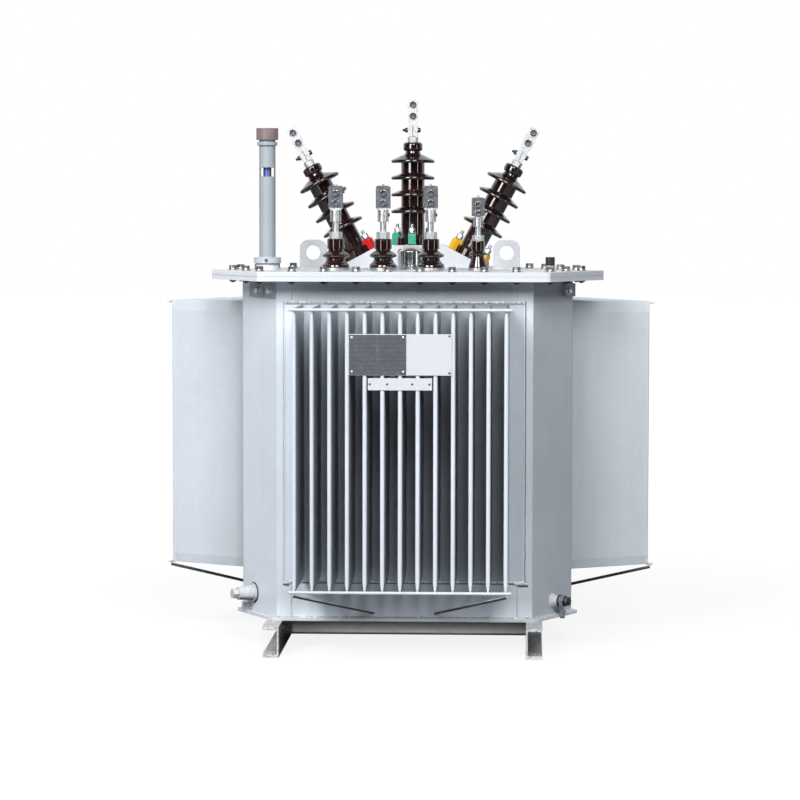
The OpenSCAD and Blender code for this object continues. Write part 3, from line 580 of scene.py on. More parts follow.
def plate_tone(board, paint):
    """Ruled table of the rating plate, in thin pale lines worn away in places, with faint blotches."""
    low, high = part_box("rating_plate")
    where = board.place(turn=(-math.pi / 2, 0, 0), shift=(-low.x, low.z, 0))
    rows = board.node("ShaderNodeTexBrick", offset=0.0, squash=1.0)
    board.fill(rows, Vector=where, Color1=grey(0.0), Color2=grey(0.0), Mortar=grey(1.0))
    board.fill(rows, Scale=1.0, Mortar_Size=0.7 * MM, Mortar_Smooth=0.2)
    board.fill(rows, Brick_Width=(high.x - low.x) / 2, Row_Height=(high.z - low.z) / 9)
    wear = board.noise(board.place(), 210.0, 4.0, 0.7)
    rule = board.times(rows.outputs["Color"], board.spread(wear, 0.35, 0.65, 0.0, 0.22))
    blotch = board.spread(board.noise(board.place((1.0, 1.0, 2.2)), 95.0, 5.0, 0.7), 0.48, 0.75, 0.0, 0.16)
    return board.blend(board.larger(rule, blotch), paint, rgb(0.42, 0.44, 0.47))


TANK_GREY = rgb(0.635, 0.68, 0.73)
FIN_GREY = rgb(0.60, 0.645, 0.70)
CLAW = dict(waves=0.2, grime=0.0, chips=0.5)
ROD = dict(mottle=0.08, waves=0.2, grime=0.0)

FINISHES = {
    "tank_paint": painted("tank_paint", TANK_GREY),
    "skid_paint": painted(
        "skid_paint", rgb(0.62, 0.63, 0.64), skid_rust_and_shade, mottle=0.12, waves=0.6, grime=0.25, grime_top=0.12,
    ),
    "cover_paint": painted(
        "cover_paint", rgb(0.605, 0.632, 0.665), band_highlights_and_dust, mottle=0.04, waves=0.6, grime=0.05,
        grime_top=0.02, round_r=0.7 * MM,
    ),
    "gasket_rubber": moulded(
        "gasket_rubber", rgb(0.57, 0.60, 0.63), rgb(0.62, 0.65, 0.68), 0.5, round_r=0.3 * MM,
    ),
    "porcelain": glazed("porcelain"),
    "red_paint": painted("red_paint", rgb(0.62, 0.007, 0.007), mottle=0.14, **CLAW),
    "green_paint": painted("green_paint", rgb(0.03, 0.34, 0.20), mottle=0.14, **CLAW),
    "yellow_paint": painted("yellow_paint", rgb(0.80, 0.44, 0.003), mottle=0.12, **CLAW),
    "zinc": metal("zinc", rgb(0.62, 0.63, 0.65), rgb(0.52, 0.53, 0.55), 260.0),
    "cast_alloy": metal("cast_alloy", rgb(0.78, 0.79, 0.81), rgb(0.58, 0.59, 0.61), 420.0, -0.2, pits=0.4),
    "cap_brown": moulded("cap_brown", rgb(0.19, 0.137, 0.134), rgb(0.275, 0.21, 0.205), 0.36),
    "sight_glass": sight_glass("sight_glass"),
    "black_plastic": moulded("black_plastic", rgb(0.012, 0.013, 0.015), rgb(0.04, 0.04, 0.042), 0.38),
    "white_plate": painted(
        "white_plate", rgb(0.55, 0.565, 0.59), mottle=0.03, waves=0.15, grime=0.06, round_r=0.8 * MM,
    ),
    "dark_plate": painted(
        "dark_plate", rgb(0.066, 0.073, 0.088), plate_tone, mottle=0.12, waves=0.1, grime=0.0,
        round_r=0.8 * MM,
    ),
}
BASE_PAINT = painted("base_paint", rgb(0.75, 0.77, 0.79), mottle=0.1, waves=0.5, grime=0.1, grime_top=0.1)
LUG_PAINT = painted("lug_paint", rgb(0.52, 0.54, 0.565), waves=0.3, grime=0.06, grime_top=0.02)
SIDE_ROD_PAINT = painted("rod_paint", rgb(0.78, 0.80, 0.83), rod_painted_shade, **ROD)
WELD_PAINT = painted("weld_paint", FIN_GREY, weld_highlights_and_shade, mottle=0.1, waves=0.4, grime=0.0, round_r=None)
# Dark strips along the seams, as the seams' painted shade: a fainter one and a darker one.
SEAM_SHADE_FAINT = moulded("seam_shade_faint", rgb(0.30, 0.32, 0.345), rgb(0.48, 0.51, 0.545), 0.6)
SEAM_SHADE = moulded("seam_shade", rgb(0.07, 0.076, 0.084), rgb(0.17, 0.18, 0.195), 0.6)
DARK_BOLT = metal("dark_bolt", rgb(0.10, 0.105, 0.11), rgb(0.045, 0.045, 0.048), 300.0, 0.08)
COVER_HEAD = metal("cover_head", rgb(0.32, 0.325, 0.335), rgb(0.11, 0.112, 0.116), 300.0, 0.06)
COVER_WASHER = metal("cover_washer", rgb(0.44, 0.45, 0.465), rgb(0.34, 0.35, 0.36), 260.0)
TANK_PAINT = FINISHES["tank_paint"]
BLACK_PLASTIC = FINISHES["black_plastic"]
ZINC = FINISHES["zinc"]

# Nodes whose finish is their own, and not that of their slot
OWN_FINISH = {
    "front_wall": painted("front_wall_paint", TANK_GREY, front_wall_painted_light),
    # The left corner wall is paler than the tank's paint, as painted light.
    "left_corner_wall": painted("left_corner_paint", rgb(0.69, 0.74, 0.80)),
    "right_corner_wall": painted("right_corner_paint", TANK_GREY, right_corner_painted_shade),
    "front_fins": painted("front_fin_paint", FIN_GREY, front_fin_painted_shade),
    # The left fins are darker and the right fins paler than the front ones, as painted shade and light.
    "left_fins": painted("fin_paint", rgb(0.575, 0.615, 0.662), fin_painted_shade),
    "right_fins": painted("right_fin_paint", rgb(0.64, 0.685, 0.735), fin_painted_shade),
    "front_stay_rods": painted("front_rod_paint", rgb(0.58, 0.605, 0.64), front_rod_painted_shade, **ROD),
    "left_stay_rods": SIDE_ROD_PAINT,
    "right_stay_rods": SIDE_ROD_PAINT,
    "oil_gauge_tube": painted(
        "gauge_paint", rgb(0.315, 0.357, 0.39), gauge_tone, mottle=0.06, waves=0.3, grime=0.12, grime_top=0.0,
    ),
    # The channel's paint is paler than the tank's, as painted light.
    "cross_channel": painted("channel_paint", rgb(0.88, 0.89, 0.90), channel_painted_shade, mottle=0.08, grime=0.1),
    "top_flange": painted(
        "flange_paint", rgb(0.625, 0.652, 0.685), band_highlights_and_dust, waves=0.6, grime=0.03, round_r=0.7 * MM,
    ),
    "base_plate": BASE_PAINT,
    "lv_terminals": metal(
        "flag_zinc", rgb(0.205, 0.222, 0.238), rgb(0.155, 0.17, 0.183), 260.0, pits=2.0, tone=flag_tone,
    ),
    "hv_terminals": metal(
        "tinned", rgb(0.60, 0.61, 0.62), rgb(0.50, 0.51, 0.52), 200.0, 0.06, round_r=None, pits=0.1,
        metallic=0.5,
    ),
    "left_lifting_lug": LUG_PAINT,
    "right_lifting_lug": LUG_PAINT,
    "earth_pads": painted("pad_paint", FIN_GREY, pad_painted_shade, mottle=0.08, waves=0.3, grime=0.1),
    "drain_valve": painted(
        "drain_paint", rgb(0.58, 0.60, 0.62), drain_specks_and_shade, mottle=0.1, waves=0.3, grime=0.1,
    ),
    "sampling_valve": metal("tap_metal", rgb(0.50, 0.51, 0.53), rgb(0.20, 0.205, 0.215), 300.0, -0.06),
}

slot_of = {part["node"]: part["material_slot"] for part in frame["record"]["subparts"]}
for name, piece in nodes.items():
    piece.data.materials.clear()
    piece.data.materials.append(OWN_FINISH.get(name, FINISHES[slot_of[name]]))


# Modelling by hand

def hold(piece):
    """Makes one piece the only one selected."""
    bpy.ops.object.select_all(action="DESELECT")
    piece.select_set(True)
    bpy.context.view_layer.objects.active = piece


def pick(kind, test):
    """Selects, in edit mode, the faces or edges whose place passes a test."""
    bpy.ops.mesh.select_mode(type=kind)
    bpy.ops.mesh.select_all(action="DESELECT")
    shape = bmesh.from_edit_mesh(bpy.context.object.data)
    for item in shape.faces if kind == "FACE" else shape.edges:
        if kind == "FACE":
            hit = test(item.calc_center_median(), item.normal)
        else:
            hit = test(item.verts[0].co, item.verts[1].co)
        if hit:
            item.select_set(True)
    bmesh.update_edit_mesh(bpy.context.object.data)


def pick_top():
    pick("FACE", lambda place, out: out.z > 0.9)


def shape_on():
    bpy.ops.object.mode_set(mode="EDIT")


def shape_off():
    bpy.ops.object.mode_set(mode="OBJECT")


def round_bar(radius, height, sides, base):
    """A round or many-sided bar along Z, to be shaped further."""
    bpy.ops.object.select_all(action="DESELECT")
    middle = (0, 0, base + height / 2)
    bpy.ops.mesh.primitive_cylinder_add(vertices=sides, radius=radius, depth=height, location=middle)
    bpy.ops.object.transform_apply(location=True, rotation=True, scale=True)
    return bpy.context.object


def rise(step, scale=1.0):
    """Draws the selected faces up by a step and in or out by a scale."""
    bpy.ops.mesh.extrude_region_move(TRANSFORM_OT_translate={"value": (0, 0, step)})
    if scale != 1.0:
        bpy.ops.transform.resize(value=(scale, scale, 1.0), center_override=(0, 0, 0))


def finish_with(piece, finish):
    piece.data.materials.clear()
    piece.data.materials.append(finish)
    return piece


def washer(radius, thick, base, finish):
    piece = round_bar(radius, thick * 0.6, 28, base)
    shape_on()
    pick_top()
    rise(thick * 0.4, 0.93)
    bpy.ops.mesh.inset(thickness=radius * 0.35)
    shape_off()
    return finish_with(piece, finish)


def hexagon(across, height, base, finish):
    """A hexagonal head or nut with a turned-down top."""
    piece = round_bar(across / math.sqrt(3), height * 0.84, 6, base)
    shape_on()
    pick("EDGE", lambda a, b: abs(a.z - b.z) > height * 0.5)
    bpy.ops.mesh.bevel(offset=across * 0.035, segments=2)
    pick_top()
    rise(height * 0.16, 0.86)
    bpy.ops.mesh.inset(thickness=across * 0.06)
    bpy.ops.transform.translate(value=(0, 0, -height * 0.04))
    shape_off()
    return finish_with(piece, finish)


def thread_end(radius, height, turns, base, finish):
    """The end of a stud, with its thread as narrow rings."""
    step = height / (2 * turns + 1)
    piece = round_bar(radius, step, 14, base)
    shape_on()
    pick_top()
    for turn in range(turns):
        rise(step * 0.5, 0.86)
        rise(step * 0.5)
        rise(step * 0.5, 1 / 0.86)
        rise(step * 0.5)
    rise(step * 0.4, 0.8)
    shape_off()
    return finish_with(piece, finish)


def domed(radius, height, finish):
    """A low round head."""
    piece = round_bar(radius, height * 0.35, 20, 0.0)
    shape_on()
    pick_top()
    rise(height * 0.3, 0.92)
    rise(height * 0.22, 0.78)
    rise(height * 0.13, 0.5)
    shape_off()
    return finish_with(piece, finish)


def collar(outer, thick, base, finish, lip=0.12):
    """A flat disc with eased edges, which shows as a ring round what it sits on."""
    piece = round_bar(outer, thick, 40, base)
    shape_on()
    pick("EDGE", lambda a, b: abs(a.z - b.z) < thick * 0.1)
    bpy.ops.mesh.bevel(offset=thick * lip, segments=2)
    shape_off()
    return finish_with(piece, finish)


def join(pieces, name):
    bpy.ops.object.select_all(action="DESELECT")
    for piece in pieces:
        piece.select_set(True)
    bpy.context.view_layer.objects.active = pieces[0]
    bpy.ops.object.join()
    piece = bpy.context.object
    piece.name = name
    piece.data.name = name
    return piece


def repeat(master, places, name):
    """Copies a finished master to each place and joins the copies into one piece."""
    copies = []
    for place in places:
        copy = master.copy()
        copy.data = master.data.copy()
        bpy.context.scene.collection.objects.link(copy)
        copy.data.transform(place)
        copies.append(copy)
    bpy.data.objects.remove(master)
    return join(copies, name)


def settle(piece, angle=35.0):
    """Smooths a finished piece and lets it ride on the object."""
    hold(piece)
    bpy.ops.object.shade_smooth_by_angle(angle=math.radians(angle))
    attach(piece, "root")


def lay(piece, place, name):
    """Puts a single finished piece in its place under its own name."""
    piece.data.transform(place)
    piece.name = name
    settle(piece)


def spun(place, count):
    """Turns a fastener by its own angle, so that neighbours don't stand alike."""
    return place @ Matrix.Rotation(math.radians(37.0 * count % 60.0), 4, "Z")


def facing(place, towards):
    """Lays a piece made along +Z so that it points another way."""
    return place @ Vector((0, 0, 1)).rotation_difference(Vector(towards)).to_matrix().to_4x4()


def upside_down(drop):
    """Turns a piece made upwards so that it hangs from a level below."""
    return at(0, 0, -drop) @ Matrix.Rotation(math.pi, 4, "X")


def make_cover_bolts():
    """Bolts through the cover and flange: washers and a head on top, a washer, nut and thread end below, in
    dark metal as painted shade under the flange.
    """
    pitch = 84 * MM
    long_count, short_count = 8, 3
    line_share = 0.52
    washer_t, thin_washer_t, nut_h = 3 * MM, 1.5 * MM, 3.5 * MM
    above = [
        washer(12.5 * MM, washer_t, 0.0, COVER_WASHER),
        washer(10.5 * MM, washer_t, washer_t, COVER_WASHER),
        hexagon(19 * MM, 7.5 * MM, 2 * washer_t, COVER_HEAD),
    ]
    below = [
        washer(12 * MM, thin_washer_t, 0.0, DARK_BOLT),
        hexagon(18 * MM, nut_h, thin_washer_t, DARK_BOLT),
        thread_end(5.5 * MM, 2.5 * MM, 1, thin_washer_t + nut_h - SUNK, DARK_BOLT),
    ]
    for piece in below:
        piece.data.transform(upside_down(COVER_TOP - FLANGE_UNDER))
    places = []
    for turn in SIDES:
        count = long_count if turn in LONG_SIDES else short_count
        line = on_side(turn) @ at(0, -RIM * line_share, COVER_TOP - BASE_TOP)
        for step in range(count):
            place = line @ at((step - (count - 1) / 2) * pitch, 0, 0)
            places.append(spun(place, len(places)))
    settle(repeat(join(above + below, "cover_bolt"), places, "cover_bolts"))


def weld_bead(length, radius, finish):
    """A plain bead along X from its middle, cut into short lengths to be roughened."""
    sides, cut = 8, 4 * MM
    piece = round_bar(radius, length, sides, -length / 2)
    shape_on()
    pick("EDGE", lambda a, b: abs(a.z - b.z) > length * 0.5)
    bpy.ops.mesh.subdivide(number_cuts=max(2, int(length / cut)))
    shape_off()
    piece.data.transform(Matrix.Rotation(math.pi / 2, 4, "Y"))
    return finish_with(piece, finish)


def roughen(piece, name, grain, strength):
    """Gives a bead the uneven swell of hand welding."""
    hold(piece)
    cloud = bpy.data.textures.new(name, "CLOUDS")
    cloud.noise_scale = grain
    cloud.noise_depth = 3
    swell = piece.modifiers.new(name, "DISPLACE")
    swell.texture = cloud
    swell.texture_coords = "LOCAL"
    swell.strength = strength
    swell.mid_level = 0.5
    bpy.ops.object.modifier_apply(modifier=name)


def run(place, length, radius, finish=WELD_PAINT, upright=False):
    """One bead laid at a place, level or upright."""
    bead = weld_bead(length, radius, finish)
    turn = Matrix.Rotation(math.pi / 2, 4, "Y") if upright else Matrix.Identity(4)
    bead.data.transform(place @ turn)
    return bead


def make_panel_welds():
    """Welds round each finned panel and beside the wall's plate seams, dark strips in the panel and plate
    seams as their painted shade, and the welds along the wall's foot.
    """
    half = (fins_high.x - fins_low.x) / 2
    bottom, top = fins_low.z - BASE_TOP, fins_high.z - BASE_TOP
    middle, height, width = (bottom + top) / 2, top - bottom, 2 * half
    side_bead, lower_bead, upper_bead, plate_bead = 2.8 * MM, 3.4 * MM, 3.2 * MM, 1.8 * MM
    side_gap, lower_gap, upper_gap, plate_gap = 1.5 * MM, 1.8 * MM, 1.5 * MM, 1.0 * MM
    aside, beneath, below_top, beside_plate = 3.2 * MM, 4.2 * MM, 4.6 * MM, 2.6 * MM
    plate_seam, past_ends, short_of_end = 298 * MM, 6 * MM, 4 * MM
    seam_top = FLANGE_UNDER - BASE_TOP - 2 * MM
    plate_runs = ((short_of_end, bottom - short_of_end), (top + short_of_end, seam_top))
    for turn in LONG_SIDES:
        wall = on_side(turn)
        welds, gaps = [], []
        for hand, gap_finish in ((-1, SEAM_SHADE_FAINT), (1, SEAM_SHADE)):
            weld = wall @ at(hand * half, 0.9 * MM, middle)
            welds.append(run(weld, height, side_bead, TANK_PAINT, upright=True))
            gap = wall @ at(hand * (half + aside), 0.3 * MM, middle)
            gaps.append(run(gap, height + past_ends, side_gap, gap_finish, upright=True))
            for foot, head in plate_runs:
                seam = wall @ at(hand * plate_seam, 0.4 * MM, (foot + head) / 2)
                gaps.append(run(seam, head - foot, plate_gap, SEAM_SHADE_FAINT, upright=True))
                bead = seam @ at(hand * beside_plate, 0.6 * MM, 0)
                welds.append(run(bead, head - foot, plate_bead, TANK_PAINT, upright=True))
        welds.append(run(wall @ at(0, 0.4 * MM, bottom), width, lower_bead))
        welds.append(run(wall @ at(0, 0.2 * MM, top), width, upper_bead))
        welds.append(run(wall, LONG_SIDE - short_of_end, FOOT_BEAD))
        lower = wall @ at(0, -0.4 * MM, bottom - beneath)
        gaps.append(run(lower, width + past_ends, lower_gap, SEAM_SHADE))
        upper = wall @ at(0, -0.4 * MM, top - below_top)
        gaps.append(run(upper, width + past_ends, upper_gap, SEAM_SHADE_FAINT))
        for name, runs, slot, swell, wander in (
            ("panel_weld", welds, "tank_paint", 2.4 * MM, 3.0 * MM),
            ("panel_seam", gaps, "black_plastic", 1.2 * MM, 2.0 * MM),
        ):
            piece = join(runs, "%s_%d" % (name, turn))
            roughen(piece, "weld_swell", 8 * MM, swell)
            roughen(piece, "weld_wander", 40 * MM, wander)
            settle(piece, WELD_ANGLE)
    runs = [run(on_side(turn), SHORT_SIDE - short_of_end, FOOT_BEAD) for turn in SHORT_SIDES]
    weld = join(runs, "corner_wall_weld")
    roughen(weld, "weld_swell", 7 * MM, 3.0 * MM)
    settle(weld, WELD_ANGLE)


def make_corner_blobs():
    """Heavy ends of the panel welds at the lower corners of the front panel, each with a dark run below it as
    painted shade.
    """
    inset, drop, gap_drop = 6 * MM, 3 * MM, 6.5 * MM
    blob_r, gap_r, gap_share = 4.6 * MM, 2.6 * MM, 0.8
    aside = (fins_high.x - fins_low.x) / 2 - inset
    blobs = []
    for hand, length in ((1, 34 * MM), (-1, 20 * MM)):
        corner = on_side(0) @ at(hand * aside, -0.6 * MM, fins_low.z - BASE_TOP - drop)
        blobs.append(run(corner, length, blob_r))
        gap = corner @ at(hand * 4 * MM, 0.8 * MM, -gap_drop)
        blobs.append(run(gap, length * gap_share, gap_r, SEAM_SHADE))
    piece = join(blobs, "panel_corner_blobs")
    roughen(piece, "weld_swell", 9 * MM, 5.0 * MM)
    settle(piece, WELD_ANGLE)


def make_cover_welds():
    """Small welds at the feet of the lifting lugs and the bushing seat."""
    bead = 2.8 * MM
    runs = []
    for node in ("left_lifting_lug", "right_lifting_lug", "bushing_seat"):
        low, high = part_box(node)
        for y in (low.y, high.y):
            place = at((low.x + high.x) / 2, y, COVER_TOP)
            runs.append(run(place, high.x - low.x, bead, FINISHES["cover_paint"]))
    weld = join(runs, "cover_weld")
    roughen(weld, "weld_swell", 7 * MM, 2.4 * MM)
    settle(weld, WELD_ANGLE)


def clamp_bolt(across, grip, tail):
    """A bolt through a flat, along Z: head and washer on top, washer, nut and thread end below."""
    washer_r, washer_t = across * 0.62, 2 * MM
    head_h, nut_h, thread_r = across * 0.5, across * 0.55, across * 0.3
    head = [washer(washer_r, washer_t, 0.0, ZINC), hexagon(across, head_h, washer_t, DARK_BOLT)]
    nut = [
        washer(washer_r, washer_t, 0.0, ZINC),
        hexagon(across, nut_h, washer_t, DARK_BOLT),
        thread_end(thread_r, tail, 3, washer_t + nut_h - SUNK, DARK_BOLT),
    ]
    for piece in nut:
        piece.data.transform(upside_down(grip))
    return join(head + nut, "clamp_bolt")


def make_lv_hardware():
    """Bolts through the low-voltage flags, stud ends on top of them and set screws in their barrels."""
    flag_t, barrel_r = 14 * MM, 13.6 * MM
    neutral_h = 116 * MM
    bolt_drops, screw_drop = (20 * MM, 46 * MM), 78 * MM
    neutral_bolt_drops, neutral_screw_drop = (20 * MM, 43 * MM), 70 * MM
    upper_screw_out, upper_screw_drop = 19.5 * MM, 16 * MM
    flags_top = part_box("lv_terminals")[1].z
    bolts, ends, screws = [], [], []
    for name in ("left", "middle", "right", "neutral"):
        x, y = middle_of("lv_bushing_" + name)
        top, drops, low_drop = flags_top, bolt_drops, screw_drop
        if name == "neutral":
            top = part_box("lv_bushing_neutral")[1].z + neutral_h
            drops, low_drop = neutral_bolt_drops, neutral_screw_drop
        for drop in drops:
            bolts.append(spun(facing(at(x, y - flag_t / 2, top - drop), FORWARDS), len(bolts)))
        ends.append(at(x, y, top))
        screws.append(facing(at(x + barrel_r, y, top - low_drop), RIGHTWARDS))
    x, y = middle_of("lv_bushing_left")
    screws.append(facing(at(x + upper_screw_out, y, flags_top - upper_screw_drop), RIGHTWARDS))
    settle(repeat(clamp_bolt(15 * MM, flag_t, 6 * MM), bolts, "lv_flag_bolts"))
    settle(repeat(thread_end(3.5 * MM, 5 * MM, 2, -0.5 * MM, ZINC), ends, "lv_flag_ends"))
    settle(repeat(hexagon(9 * MM, 5 * MM, -1.0 * MM, DARK_BOLT), screws, "lv_set_screws"))


seat_low, seat_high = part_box("bushing_seat")
SEAT_TOP_HALF = 91 * MM
SEAT_H = seat_high.z - COVER_TOP
SLOPE = seat_high.x - SEAT_TOP_HALF
HV_Y = (seat_low.y + seat_high.y) / 2
HV_LEAN = math.atan2(SEAT_H, SLOPE)
HV_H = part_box("hv_bushing_middle")[1].z - seat_high.z
HV_SLOPE_SHARE = 0.53


def on_seat(hand):
    """Frame of a high-voltage bushing: hand -1 left, 0 middle, 1 right, Z along the bushing."""
    x = hand * (SEAT_TOP_HALF + SLOPE * HV_SLOPE_SHARE)
    z = COVER_TOP + (SEAT_H if hand == 0 else SEAT_H * (1 - HV_SLOPE_SHARE))
    return at(x, HV_Y, z) @ Matrix.Rotation(hand * HV_LEAN, 4, "Y")


def make_hv_hardware():
    """Clamp bolts and tongue bolts of the high-voltage terminals."""
    tongue_t, tongue_levels = 6 * MM, (74 * MM, 106 * MM)
    clamp_w, clamp_level = 26 * MM, 34 * MM
    tongue, cross = [], []
    for hand in (-1, 0, 1):
        terminal = on_seat(hand) @ at(0, 0, HV_H)
        for level in tongue_levels:
            place = terminal @ at(0, -tongue_t / 2, level)
            tongue.append(spun(facing(place, FORWARDS), len(tongue)))
        cross.append(facing(terminal @ at(clamp_w / 2, 0, clamp_level), RIGHTWARDS))
    settle(repeat(clamp_bolt(16 * MM, tongue_t, 7 * MM), tongue, "hv_tongue_bolts"))
    settle(repeat(clamp_bolt(13 * MM, clamp_w, 6 * MM), cross, "hv_clamp_bolts"))


def make_claw_nuts():
    """Washer, nut and stud end on each claw."""
    claw_r, claw_top = 51.0 * MM, 34.1 * MM
    nut = [
        washer(11 * MM, 2 * MM, 0.0, ZINC),
        hexagon(17 * MM, 12 * MM, 2 * MM, ZINC),
        thread_end(5 * MM, 11 * MM, 5, 13.8 * MM, ZINC),
    ]
    places = []
    for hand in (-1, 0, 1):
        first = -90 if hand == 0 else -30
        for turn in range(3):
            spin = Matrix.Rotation(math.radians(first + 120 * turn), 4, "Z")
            places.append(spun(on_seat(hand) @ spin @ at(claw_r, 0, claw_top), len(places)))
    settle(repeat(join(nut, "claw_nut"), places, "claw_nuts"))


def make_plate_rivets():
    """Rivets of the rating plate and screws of the white plate and the strip."""
    inset, screw_inset, upper_inset = 7 * MM, 6 * MM, 5 * MM
    strip_shares = (0.03, 0.30, 0.69, 0.96)
    low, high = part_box("rating_plate")
    rivets = [
        facing(at(x, low.y, z), FORWARDS)
        for x in (low.x + inset, high.x - inset) for z in (low.z + inset, high.z - inset)
    ]
    settle(repeat(domed(3.6 * MM, 2.2 * MM, ZINC), rivets, "plate_rivets"))
    low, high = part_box("plate_backing")
    screws = [
        facing(at(high.x - screw_inset, low.y, z), FORWARDS)
        for z in (low.z + screw_inset, high.z - upper_inset)
    ]
    low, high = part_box("blank_strip")
    for share in strip_shares:
        place = at(low.x + (high.x - low.x) * share, low.y, (low.z + high.z) / 2)
        screws.append(facing(place, FORWARDS))
    settle(repeat(domed(2.8 * MM, 1.6 * MM, DARK_BOLT), screws, "plate_screws"))


def make_earth_bolts():
    """Bolts of the earthing pads under the flange."""
    pad_t, drop = 9 * MM, 26.5 * MM
    side_shares = ((300, 0.075), (300, 0.43), (60, 0.30))
    places = []
    for turn, share in side_shares:
        place = on_side(turn) @ at(share * SHORT_SIDE, -pad_t, FLANGE_UNDER - BASE_TOP - drop)
        places.append(spun(facing(place, FORWARDS), len(places)))
    bolt = [washer(11 * MM, 2 * MM, 0.0, ZINC), hexagon(17 * MM, 8 * MM, 2 * MM, ZINC)]
    settle(repeat(join(bolt, "earth_bolt"), places, "earth_bolts"))


def make_gauge_trim():
    """Set screw on the oil gauge's upper disc and the seal between its discs."""
    screw_rise, seal_rise = 10 * MM, 0.05 * MM
    x, y = middle_of("oil_gauge_tube")
    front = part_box("oil_gauge_tube")[0].y
    screw = hexagon(8 * MM, 4 * MM, -1 * MM, DARK_BOLT)
    lay(screw, facing(at(x, front, GAUGE_DISC + screw_rise), FORWARDS), "gauge_set_screw")
    seal = collar(31.5 * MM, 1.9 * MM, 0.0, BLACK_PLASTIC)
    lay(seal, at(x, y, GAUGE_DISC + seal_rise), "gauge_seal")


def make_valve_trim():
    """A seal behind the drain's flange, dark also as the flange's painted shadow, and dark rings and a pale
    sleeve on the sampling valve.
    """
    drain_x, drain_h, sampling_h = -34 * MM, 50 * MM, 38 * MM
    drain = facing(on_side(300) @ at(drain_x, 0, drain_h), FORWARDS)
    sampling = facing(on_side(60) @ at(0, 0, sampling_h), FORWARDS)
    lay(collar(27.5 * MM, 3 * MM, -0.5 * MM, BLACK_PLASTIC), drain, "drain_seal_and_shadow")
    rings = [
        collar(16.8 * MM, 4 * MM, 22.5 * MM, DARK_BOLT),
        collar(13.5 * MM, 3 * MM, 40.2 * MM, DARK_BOLT),
        collar(11.5 * MM, 3 * MM, 49.5 * MM, DARK_BOLT),
    ]
    lay(join(rings, "sampling_rings"), sampling, "sampling_rings")
    sleeves = [
        collar(17.6 * MM, 5.6 * MM, -0.4 * MM, BASE_PAINT),
        collar(13.6 * MM, 16.4 * MM, 5 * MM, BASE_PAINT, lip=0.04),
    ]
    lay(join(sleeves, "sampling_sleeve"), sampling, "sampling_sleeve")


make_cover_bolts()
make_panel_welds()
make_corner_blobs()
make_cover_welds()
make_lv_hardware()
make_hv_hardware()
make_claw_nuts()
make_plate_rivets()
make_earth_bolts()
make_gauge_trim()
make_valve_trim()


# Stage, light and camera

def make_floor():
    """White floor that throws back a softer light than it shows."""
    bpy.ops.object.select_all(action="DESELECT")
    bpy.ops.mesh.primitive_plane_add(size=60.0, location=(0, 0, 0))
    floor = bpy.context.object
    floor.name = "studio_floor"
    material, board, shader = start_material("studio_floor")
    seen = board.node("ShaderNodeLightPath").outputs["Is Camera Ray"]
    where = board.place()
    cloud = board.spread(board.noise(where, 0.8, 2.0), 0.3, 0.7)
    bounce = board.blend(cloud, rgb(0.205, 0.22, 0.235), rgb(0.235, 0.25, 0.265))
    in_front = board.unsigned(board.plus(board.axis(where, "Y"), 1.0))
    near = board.spread(in_front, 0.5, 0.9, 1.0, 0.0)
    bounce = board.blend(near, bounce, rgb(0.30, 0.32, 0.34))
    shown = board.blend(seen, bounce, grey(1.0))
    board.fill(shader, Base_Color=shown, Roughness=0.9, Specular_IOR_Level=0.0)
    glow = board.node("ShaderNodeEmission")
    away = board.node("ShaderNodeVectorMath", operation="LENGTH")
    board.feed(away.inputs[0], where)
    far = board.spread(away.outputs["Value"], 1.2, 4.0)
    board.fill(glow, Strength=board.plus(1.0, board.times(far, 0.16)))
    share = board.node("ShaderNodeMixShader")
    board.feed(share.inputs[0], board.times(seen, 0.87))
    board.feed(share.inputs[1], shader.outputs[0])
    board.feed(share.inputs[2], glow.outputs[0])
    board.feed(material.node_tree.nodes["Material Output"].inputs["Surface"], share.outputs[0])
    floor.data.materials.append(material)


def make_world():
    """White surroundings to look at, and a dim sky for light, brighter overhead and behind."""
    world = bpy.data.worlds.new("studio")
    bpy.context.scene.world = world
    world.use_nodes = True
    board = Board(world.node_tree)
    sky = world.node_tree.nodes["Background"]
    white = board.node("ShaderNodeBackground")
    board.fill(white, Color=grey(1.0), Strength=1.0)
    towards = board.node("ShaderNodeTexCoord").outputs["Object"]
    height = board.axis(towards, "Z")
    behind = board.spread(board.axis(towards, "Y"), 0.0, 0.8)
    zenith = board.times(board.reckon("POWER", board.larger(height, 0.0), 3.0), 0.35)
    rear = board.times(behind, 0.9)
    tint = board.blend(behind, rgb(0.92, 0.97, 1.01), rgb(0.90, 0.95, 1.01))
    path = board.node("ShaderNodeLightPath").outputs
    strength = board.plus(board.plus(zenith, 0.04), rear)
    dimmed = board.minus(1.0, board.times(path["Is Glossy Ray"], 0.55))
    board.fill(sky, Color=tint, Strength=board.times(strength, dimmed))
    backdrop = board.spread(board.axis(towards, "Y"), -0.1, 0.35, 0.0, 0.85)
    rays = board.larger(path["Is Camera Ray"], board.times(path["Is Glossy Ray"], backdrop))
    share = board.node("ShaderNodeMixShader")
    board.feed(share.inputs[0], rays)
    board.feed(share.inputs[1], sky.outputs[0])
    board.feed(share.inputs[2], white.outputs[0])
    board.feed(world.node_tree.nodes["World Output"].inputs["Surface"], share.outputs[0])


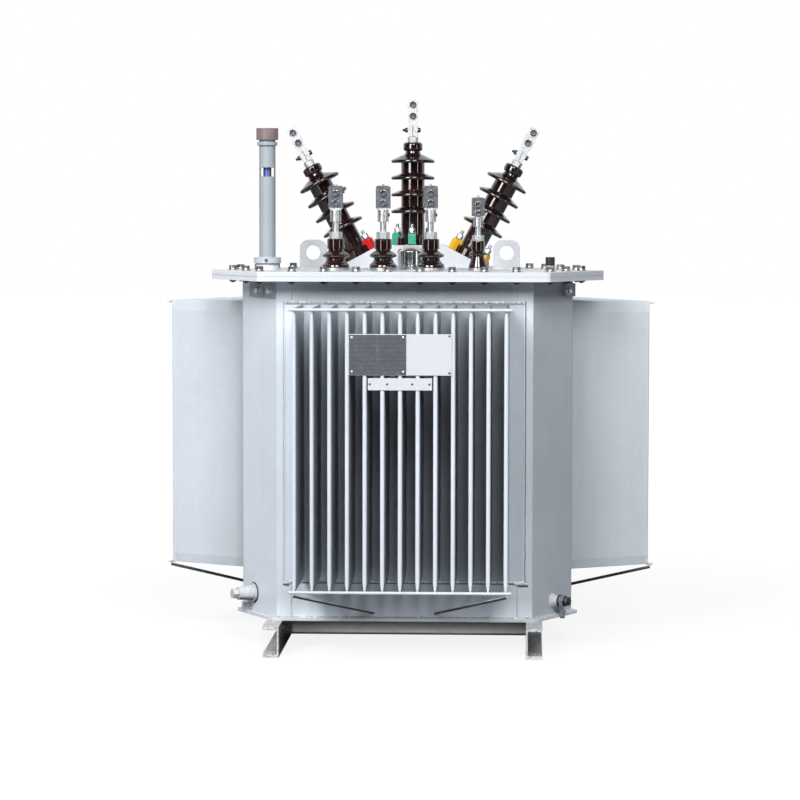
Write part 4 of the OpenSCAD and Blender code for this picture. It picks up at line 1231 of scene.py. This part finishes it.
def softbox(name, place, aim, size, power, glint_only=False, only=()):
    """A soft lamp; glint_only shows it in reflections alone, only names the nodes that it reaches."""
    light = bpy.data.lights.new(name, "AREA")
    light.shape = "RECTANGLE"
    light.size, light.size_y = size
    light.energy = power
    lamp = bpy.data.objects.new(name, light)
    bpy.context.scene.collection.objects.link(lamp)
    lamp.visible_diffuse = not glint_only
    lamp.location = place
    lamp.rotation_euler = (Vector(aim) - Vector(place)).to_track_quat("-Z", "Y").to_euler()
    if only:
        lit = bpy.data.collections.new(name + "_reaches")
        for node in only:
            lit.objects.link(nodes[node])
        lamp.light_linking.receiver_collection = lit


def make_camera():
    lens = bpy.data.cameras.new("studio_camera")
    lens.sensor_width = 36.0
    lens.lens = 136.015
    camera = bpy.data.objects.new("studio_camera", lens)
    bpy.context.scene.collection.objects.link(camera)
    camera.location = (0.31876, -8.22712, 1.18417)
    aim = Euler((math.radians(86.2684), 0.0, math.radians(2.3837))).to_matrix()
    camera.rotation_euler = (aim @ Matrix.Rotation(math.radians(0.08), 3, "Z")).to_euler()
    lens.clip_end = 200.0
    bpy.context.scene.camera = camera


make_floor()
make_world()
softbox("key_left", (-2.9, -5.8, 4.7), (0.0, -0.3, 0.8), (2.6, 3.6), 505.0)
softbox("fill_front", (1.2, -6.0, 4.6), (0.0, -0.3, 0.8), (2.2, 3.6), 345.0)
softbox("strip_left", (-3.0, -5.6, 1.3), (0.0, 0.0, 1.2), (0.6, 2.4), 42.0, glint_only=True)
softbox("strip_right", (4.4, -3.4, 1.3), (0.0, 0.0, 1.2), (0.5, 2.4), 24.0, glint_only=True)
glazed_nodes = [name for name in nodes if slot_of[name] == "porcelain"]
softbox(
    "window_left", (-3.2, -5.4, 2.0), (0.0, 0.0, 1.2), (2.4, 1.5), 90.0, glint_only=True, only=glazed_nodes,
)
softbox("low_card", (0.0, -3.0, 0.5), (0.0, -0.3, 0.05), (2.4, 0.6), 36.0, only=["cross_channel"])
make_camera()
bpy.context.scene.view_settings.view_transform = "Standard"
